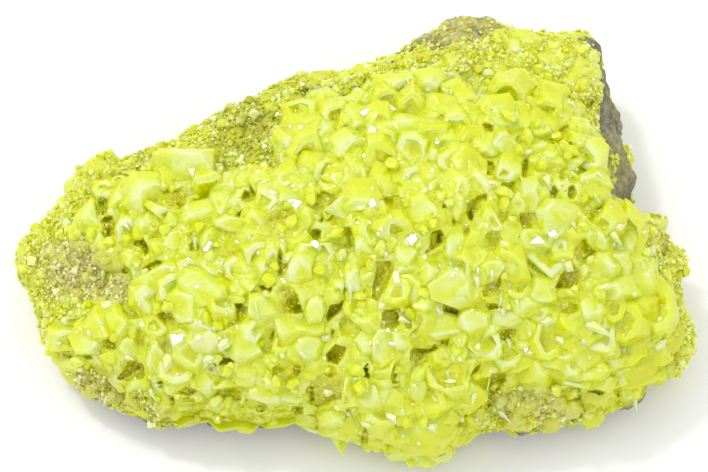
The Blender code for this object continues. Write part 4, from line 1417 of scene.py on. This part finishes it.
class Graph:
    """A small helper to wire a material."""

    def __init__(self, name):
        self.material = bpy.data.materials.new(name)
        self.material.use_nodes = True
        self.nodes = self.material.node_tree.nodes
        self.links = self.material.node_tree.links
        self.shader = self.nodes["Principled BSDF"]

    def add(self, kind, **settings):
        node = self.nodes.new(kind)
        for key, value in settings.items():
            setattr(node, key, value)
        return node

    def wire(self, source, target):
        if isinstance(source, (int, float)):
            target.default_value = source
        elif isinstance(source, tuple):
            target.default_value = source
        else:
            self.links.new(source, target)

    def attribute(self, name):
        return self.add("ShaderNodeAttribute", attribute_name=name).outputs["Fac"]

    def math(self, operation, a, b=0.0, clamp=False):
        node = self.add("ShaderNodeMath", operation=operation, use_clamp=clamp)
        self.wire(a, node.inputs[0])
        self.wire(b, node.inputs[1])
        return node.outputs[0]

    def mix(self, share, a, b, blend="MIX"):
        node = self.add("ShaderNodeMix", data_type="RGBA", blend_type=blend)
        self.wire(share, node.inputs[0])
        self.wire(a, node.inputs[6])
        self.wire(b, node.inputs[7])
        return node.outputs[2]

    def ramp(self, value, stops, smooth_steps=False):
        node = self.add("ShaderNodeValToRGB")
        if smooth_steps:
            node.color_ramp.interpolation = "EASE"
        elements = node.color_ramp.elements
        while len(elements) < len(stops):
            elements.new(0.5)
        for element, (place, colour) in zip(elements, stops):
            element.position = place
            element.color = colour
        self.wire(value, node.inputs[0])
        return node.outputs[0]

    def position(self):
        if not hasattr(self, "_position"):
            self._position = self.add("ShaderNodeTexCoord").outputs["Object"]
        return self._position

    def noise(self, size_mm, detail=3.0, rough=0.55, distort=0.0):
        node = self.add("ShaderNodeTexNoise")
        self.links.new(self.position(), node.inputs["Vector"])
        node.inputs["Scale"].default_value = 1.0 / (size_mm * MM)
        node.inputs["Detail"].default_value = detail
        node.inputs["Roughness"].default_value = rough
        node.inputs["Distortion"].default_value = distort
        return node.outputs["Fac"]

    def cells(self, size_mm, feature="F1"):
        node = self.add("ShaderNodeTexVoronoi", feature=feature)
        self.links.new(self.position(), node.inputs["Vector"])
        node.inputs["Scale"].default_value = 1.0 / (size_mm * MM)
        return node

    def bump(self, height, distance_mm, strength, normal=None):
        node = self.add("ShaderNodeBump")
        node.inputs["Strength"].default_value = 1.0
        self.wire(strength, node.inputs["Strength"])
        node.inputs["Distance"].default_value = distance_mm * MM
        self.wire(height, node.inputs["Height"])
        if normal is not None:
            self.links.new(normal, node.inputs["Normal"])
        return node.outputs["Normal"]


def tilted_normal(g, sizes):
    """The surface normal, leaning a little another way in each cell of a cell pattern,
    as the flat growth faces of a crystal do."""
    add = g.nodes.new
    out = g.add("ShaderNodeNewGeometry").outputs["Normal"]
    for size, amount in sizes:
        cell = g.cells(size)
        off = g.add("ShaderNodeVectorMath", operation="SUBTRACT")
        g.links.new(cell.outputs["Color"], off.inputs[0])
        off.inputs[1].default_value = (0.5, 0.5, 0.5)
        scale = g.add("ShaderNodeVectorMath", operation="SCALE")
        g.links.new(off.outputs[0], scale.inputs[0])
        g.wire(amount, scale.inputs["Scale"])
        total = g.add("ShaderNodeVectorMath", operation="ADD")
        g.links.new(out, total.inputs[0])
        g.links.new(scale.outputs[0], total.inputs[1])
        out = total.outputs[0]
    unit = g.add("ShaderNodeVectorMath", operation="NORMALIZE")
    g.links.new(out, unit.inputs[0])
    return unit.outputs[0]


def minus_half(g, value, amount):
    return g.math("MULTIPLY", g.math("SUBTRACT", value, 0.5), amount)


# Olive amber of the holes, darker with depth: partly the grains' own colour, partly painted shade.
HOLLOW = [
    (0.30, lin(164, 162, 0)), (0.45, lin(192, 190, 0)), (0.60, lin(214, 214, 4)), (0.75, lin(236, 240, 70)),
]
DUST = [
    (0.1, lin(176, 164, 90)), (0.4, lin(208, 200, 116)), (0.65, lin(224, 220, 128)), (0.9, lin(242, 240, 190)),
]
DRUSY = [
    (0.05, lin(210, 208, 8)), (0.4, lin(224, 230, 34)), (0.7, lin(234, 244, 90)), (0.95, lin(244, 252, 180)),
]
DULL_AND_SHADE = [
    (0.05, lin(146, 144, 38)), (0.4, lin(178, 180, 58)), (0.7, lin(204, 208, 84)), (0.95, lin(232, 236, 160)),
]


CLEAR = 0.18


def glassy(g, rough, transmission=CLEAR, glow=1.1, share=0.85):
    """What all the sulfur shares: a bright, soft-lit glassy body."""
    g.wire(rough, g.shader.inputs["Roughness"])
    g.shader.inputs["IOR"].default_value = 1.62
    if transmission > 0.15:
        clear = g.add("ShaderNodeVolumeAbsorption")
        clear.inputs["Color"].default_value = (1.0, 0.985, 0.30, 1.0)
        clear.inputs["Density"].default_value = 500.0
        g.links.new(clear.outputs[0], g.nodes["Material Output"].inputs["Volume"])
    g.shader.inputs["Subsurface Weight"].default_value = share
    g.shader.inputs["Subsurface Radius"].default_value = (1.0, 0.95, 0.10)
    g.shader.inputs["Subsurface Scale"].default_value = glow * MM
    g.shader.inputs["Transmission Weight"].default_value = transmission


def streaks(g, size_mm, squash):
    """Fine growth lines."""
    stretch = g.add("ShaderNodeMapping")
    g.links.new(g.position(), stretch.inputs["Vector"])
    stretch.inputs["Scale"].default_value = (1.0, squash, squash)
    stretch.inputs["Rotation"].default_value = (0.3, 0.5, 0.7)
    node = g.add("ShaderNodeTexNoise")
    g.links.new(stretch.outputs[0], node.inputs["Vector"])
    node.inputs["Scale"].default_value = 1.0 / (size_mm * MM)
    node.inputs["Detail"].default_value = 3
    return node.outputs["Fac"]


YELLOWS = [
    (0.0, lin(224, 227, 0)), (0.22, lin(227, 235, 2)), (0.45, lin(229, 239, 53)),
    (0.70, lin(232, 243, 132)), (1.0, lin(240, 249, 196)),
]
g = Graph("sulfur")
deep_a, gritty_a, low_shade_a, proud_a = (g.attribute(k) for k in GROUND)
pick_a, height_a, down_a, crystal_a, olive_and_shade_a, beige_a, vivid_a, painted_sheen_a = (g.attribute(k) for k in FACES)
cloud = g.noise(3.2, 3, 0.6)
fine = g.noise(0.45, 4, 0.7)
lines = streaks(g, 1.6, 6.0)
# a pale line along the crystals' upper edges, found from the bevel normal: a painted highlight
edge_bevel = g.add("ShaderNodeBevel", samples=3)
edge_bevel.inputs["Radius"].default_value = 0.5 * MM
flat = g.add("ShaderNodeNewGeometry").outputs["True Normal"]
agree = g.add("ShaderNodeVectorMath", operation="DOT_PRODUCT")
g.links.new(edge_bevel.outputs[0], agree.inputs[0])
g.links.new(flat, agree.inputs[1])
painted_edge_highlight = g.math("MULTIPLY", g.math("SUBTRACT", 1.0, agree.outputs["Value"]), 9.0, clamp=True)
painted_edge_highlight = g.math("MULTIPLY", painted_edge_highlight, g.math("MULTIPLY", crystal_a, g.ramp(height_a, [(0.45, (0, 0, 0, 1)), (0.8, (1, 1, 1, 1))])))
# the open ground, its holes and the drusy parts
# raised spots paler and low spots more saturated and darker: partly the crust's own colour, partly painted light and
# painted shade
t = g.math("ADD", g.math("MULTIPLY", proud_a, 0.26), 0.42)
t = g.math("SUBTRACT", t, g.math("MULTIPLY", low_shade_a, 0.15))
t = g.math("ADD", t, minus_half(g, cloud, 0.8))
t = g.math("ADD", t, minus_half(g, fine, 0.25))
t = g.math("SUBTRACT", t, g.math("MULTIPLY", vivid_a, 0.3), clamp=True)
ground_body = g.ramp(t, YELLOWS)
# holes darken to olive amber the deeper they are: partly their own grains, partly painted shade in the recess
ground_body = g.mix(g.math("MULTIPLY", deep_a, 0.95, clamp=True), ground_body, g.ramp(fine, HOLLOW))
speck = g.noise(0.5, 3, 0.7)
patchy = g.ramp(cloud, [(0.3, (0.25,) * 3 + (1,)), (0.6, (1, 1, 1, 1))])
drusy = g.mix(g.math("MULTIPLY", olive_and_shade_a, patchy, clamp=True), g.ramp(speck, DRUSY), g.ramp(speck, DULL_AND_SHADE))
ground_body = g.mix(g.math("MULTIPLY", gritty_a, 0.95, clamp=True), ground_body, drusy)
ground_body = g.mix(g.math("MULTIPLY", beige_a, 0.8, clamp=True), ground_body, g.ramp(speck, DUST))
# the crystals: the hollow of a skeletal face runs from a pale rim down to yellow
into = g.ramp(down_a, [(0.0, (0.0, 0.0, 0.0, 1)), (0.15, (0.0, 0.0, 0.0, 1)), (0.8, (0.75,) * 3 + (1,)), (1.0, (1, 1, 1, 1))])
t = g.math("ADD", 0.37, minus_half(g, pick_a, 0.42))
# crystals paler towards their tops and more saturated and darker at their feet: painted light and painted shade
t = g.math("ADD", t, g.math("MULTIPLY", height_a, 0.20))
t = g.math("ADD", t, g.math("MULTIPLY", painted_edge_highlight, 0.30))
t = g.math("SUBTRACT", t, g.math("MULTIPLY", into, 0.62))
rim = g.math("MULTIPLY", g.math("ADD", down_a, 1.0, clamp=True), g.math("SUBTRACT", 1.0, into, clamp=True))
t = g.math("ADD", t, g.math("MULTIPLY", rim, 0.26))
t = g.math("ADD", t, minus_half(g, cloud, 1.0))
t = g.math("ADD", t, minus_half(g, fine, 0.12))
t = g.math("ADD", t, minus_half(g, lines, 0.22))
t = g.math("SUBTRACT", t, g.math("MULTIPLY", vivid_a, 0.38), clamp=True)
body = g.ramp(t, YELLOWS)
# the pale grey-white of those plates is a painted reflection
body = g.mix(g.math("MULTIPLY", painted_sheen_a, 0.5), body, lin(222, 228, 168))
# olive tint: the druse's own colour, and painted shade along the lower front edges
body = g.mix(g.math("MULTIPLY", olive_and_shade_a, 0.55), body, lin(204, 202, 56))
body = g.mix(g.math("MULTIPLY", beige_a, 0.6), body, lin(216, 208, 120))
body = g.mix(g.ramp(crystal_a, [(0.35, (0, 0, 0, 1)), (0.7, (1, 1, 1, 1))]), ground_body, body)
g.wire(body, g.shader.inputs["Base Color"])
glassy(g, g.math("ADD", 0.03, g.math("MULTIPLY", g.noise(1.3, 2), 0.12)))
floor_a = g.math("ADD", 0.26, g.math("MULTIPLY", into, 0.4))
floor_a = g.math("ADD", floor_a, g.math("MULTIPLY", g.math("SUBTRACT", 1.0, crystal_a, clamp=True), 0.3))
n0 = tilted_normal(g, [(1.3, g.math("MULTIPLY", floor_a, 0.8)), (0.5, floor_a)])
n1 = g.bump(lines, 0.14, 0.4, n0)
n2 = g.bump(g.noise(0.45, 3, 0.6), 0.08, 0.3, n1)
g.wire(n2, g.shader.inputs["Normal"])
crust.data.materials.clear()
crust.data.materials.append(g.material)
shard = g.material.copy()
shard.name = "sulfur_facet"
lit = shard.node_tree.nodes["Principled BSDF"]
lit.inputs["Subsurface Scale"].default_value = 0.3 * MM
lit.inputs["Subsurface Weight"].default_value = 0.3
shard.node_tree.links.remove(lit.inputs["Normal"].links[0])
glints.data.materials.clear()
glints.data.materials.append(shard)
for key in GROUND:
    glints.data.attributes.new(key, "FLOAT", "POINT")
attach(glints, "root")

g = Graph("sulfur_druse")
pick_a, olive_and_shade_a, beige_a, vivid_a, inner_a = (g.attribute(k) for k in KEYS)
tone = g.math("ADD", pick_a, minus_half(g, g.noise(0.5, 3, 0.6), 0.4), clamp=True)
cloud = g.noise(3.2, 3, 0.6)
patchy = g.ramp(cloud, [(0.3, (0.25,) * 3 + (1,)), (0.6, (1, 1, 1, 1))])
body = g.mix(g.math("MULTIPLY", olive_and_shade_a, patchy, clamp=True), g.ramp(tone, DRUSY), g.ramp(tone, DULL_AND_SHADE))
body = g.mix(g.math("MULTIPLY", beige_a, 0.85, clamp=True), body, g.ramp(tone, DUST))
body = g.mix(g.math("MULTIPLY", vivid_a, 0.5), body, lin(228, 228, 10))
# crystals down in holes and pits take a darker amber: partly their own colour, partly painted shade
body = g.mix(g.math("MULTIPLY", inner_a, 0.8), body, g.ramp(tone, [(0.0, lin(196, 186, 0)), (0.4, lin(214, 208, 0)), (0.8, lin(230, 232, 30)), (1.0, lin(246, 248, 170))]))
g.wire(body, g.shader.inputs["Base Color"])
glassy(g, 0.10, 0.08, 0.3, 0.3)
grit.data.materials.clear()
grit.data.materials.append(g.material)
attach(grit, "root")

g = Graph("volcanic_rock")
grain_a = g.attribute("grain")
coarse = g.noise(6.0, 4, 0.6)
medium = g.noise(1.3, 4, 0.65)
small = g.noise(0.42, 2, 0.6)
stone = g.ramp(medium, [
    (0.25, lin(74, 68, 50)), (0.42, lin(112, 105, 80)), (0.55, lin(142, 136, 108)), (0.7, lin(180, 174, 146)),
])
stone = g.mix(g.math("MULTIPLY", coarse, 0.5), stone, lin(112, 112, 92))
flecks = g.ramp(small, [(0.30, (0, 0, 0, 1)), (0.36, (1, 1, 1, 1))])
stone = g.mix(g.math("SUBTRACT", 1.0, flecks, clamp=True), stone, lin(46, 42, 30))
pale = g.ramp(g.cells(0.62).outputs["Distance"], [(0.13, (1, 1, 1, 1)), (0.24, (0, 0, 0, 1))])
stone = g.mix(g.math("MULTIPLY", pale, 0.45), stone, lin(206, 202, 184))
# darker in the rock's low spots and cracks: painted shade
crevice_shade = g.ramp(grain_a, [(0.0, (1, 1, 1, 1)), (0.35, (0, 0, 0, 1))])
stone = g.mix(g.math("MULTIPLY", crevice_shade, 0.5), stone, lin(58, 52, 38))
yellowed = g.ramp(g.noise(4.5, 3, 0.6), [(0.52, (0, 0, 0, 1)), (0.68, (1, 1, 1, 1))])
stone = g.mix(g.math("MULTIPLY", yellowed, 0.4), stone, lin(170, 160, 60))
dust = g.ramp(g.noise(0.55, 3, 0.7), [(0.35, lin(176, 168, 96)), (0.5, lin(212, 206, 122)), (0.65, lin(230, 232, 90)), (0.8, lin(246, 248, 190))])
grip = g.ramp(g.noise(1.6, 4, 0.7), [(0.36, (0, 0, 0, 1)), (0.5, (1, 1, 1, 1))])
stone = g.mix(g.math("MULTIPLY", g.attribute("dusted"), g.math("ADD", 0.12, g.math("MULTIPLY", grip, 0.55)), clamp=True), stone, dust)
stone = g.mix(g.attribute("under"), stone, g.ramp(g.noise(0.5, 3, 0.7), DRUSY))
g.wire(stone, g.shader.inputs["Base Color"])
g.wire(g.math("ADD", 0.62, g.math("MULTIPLY", small, 0.3)), g.shader.inputs["Roughness"])
n1 = g.bump(medium, 0.45, 0.7)
n2 = g.bump(small, 0.22, 0.8, n1)
n3 = g.bump(g.cells(0.5).outputs["Distance"], 0.2, 0.6, n2)
g.wire(n3, g.shader.inputs["Normal"])
matrix.data.materials.clear()
matrix.data.materials.append(g.material)

for piece, node in ((crust, "sulfur_crust"), (matrix, "matrix_rock")):
    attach(piece, "root")
    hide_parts(node)

# ------------------------------------------------------------ floor and light
bpy.ops.mesh.primitive_plane_add(size=6.0, location=(0, 0, -0.00005))
floor = bpy.context.object
floor.name = "floor"
g = Graph("paper")
g.shader.inputs["Base Color"].default_value = (0.91, 0.91, 0.91, 1)
g.shader.inputs["Roughness"].default_value = 0.9
g.shader.inputs["Specular IOR Level"].default_value = 0.1
floor.data.materials.append(g.material)

scene = bpy.context.scene
world = bpy.data.worlds.new("studio")
scene.world = world
world.use_nodes = True
world.node_tree.nodes["Background"].inputs[0].default_value = (1, 1, 1, 1)
world.node_tree.nodes["Background"].inputs[1].default_value = 1.0


def softbox(name, towards, distance, size, radiance, colour=(1, 1, 1)):
    data = bpy.data.lights.new(name, "AREA")
    data.shape = "RECTANGLE"
    data.size, data.size_y = size
    data.energy = radiance * math.pi * size[0] * size[1]
    data.color = colour
    light = bpy.data.objects.new(name, data)
    scene.collection.objects.link(light)
    d = np.array(towards, float)
    d /= np.linalg.norm(d)
    light.location = d * distance + np.array([0, 0, 0.015])
    light.rotation_euler = Vector(d).to_track_quat("Z", "Y").to_euler()
    return light


softbox("key", KEY, 1.6, (0.90, 0.90), 1.3)
softbox("spark", KEY, 1.5, (0.15, 0.15), 70.0)
softbox("fill", (0.8, -0.35, 0.7), 1.5, (0.7, 0.7), 0.8)

camera_data = bpy.data.cameras.new("camera")
camera_data.lens = 100.0
camera_data.sensor_width = 36.0
camera_data.sensor_fit = "HORIZONTAL"
camera_data.clip_start = 0.01
camera_data.shift_x = (354.0 - MID[0]) / 708.0
camera_data.shift_y = (MID[1] - 236.0) / 708.0
camera = bpy.data.objects.new("camera", camera_data)
scene.collection.objects.link(camera)
camera.location = (STATION + SHIFT) * MM
camera.rotation_euler = (math.pi / 2 - ELEV, 0, 0)
scene.camera = camera
scene.view_settings.view_transform = "Standard"
scene.view_settings.look = "None"
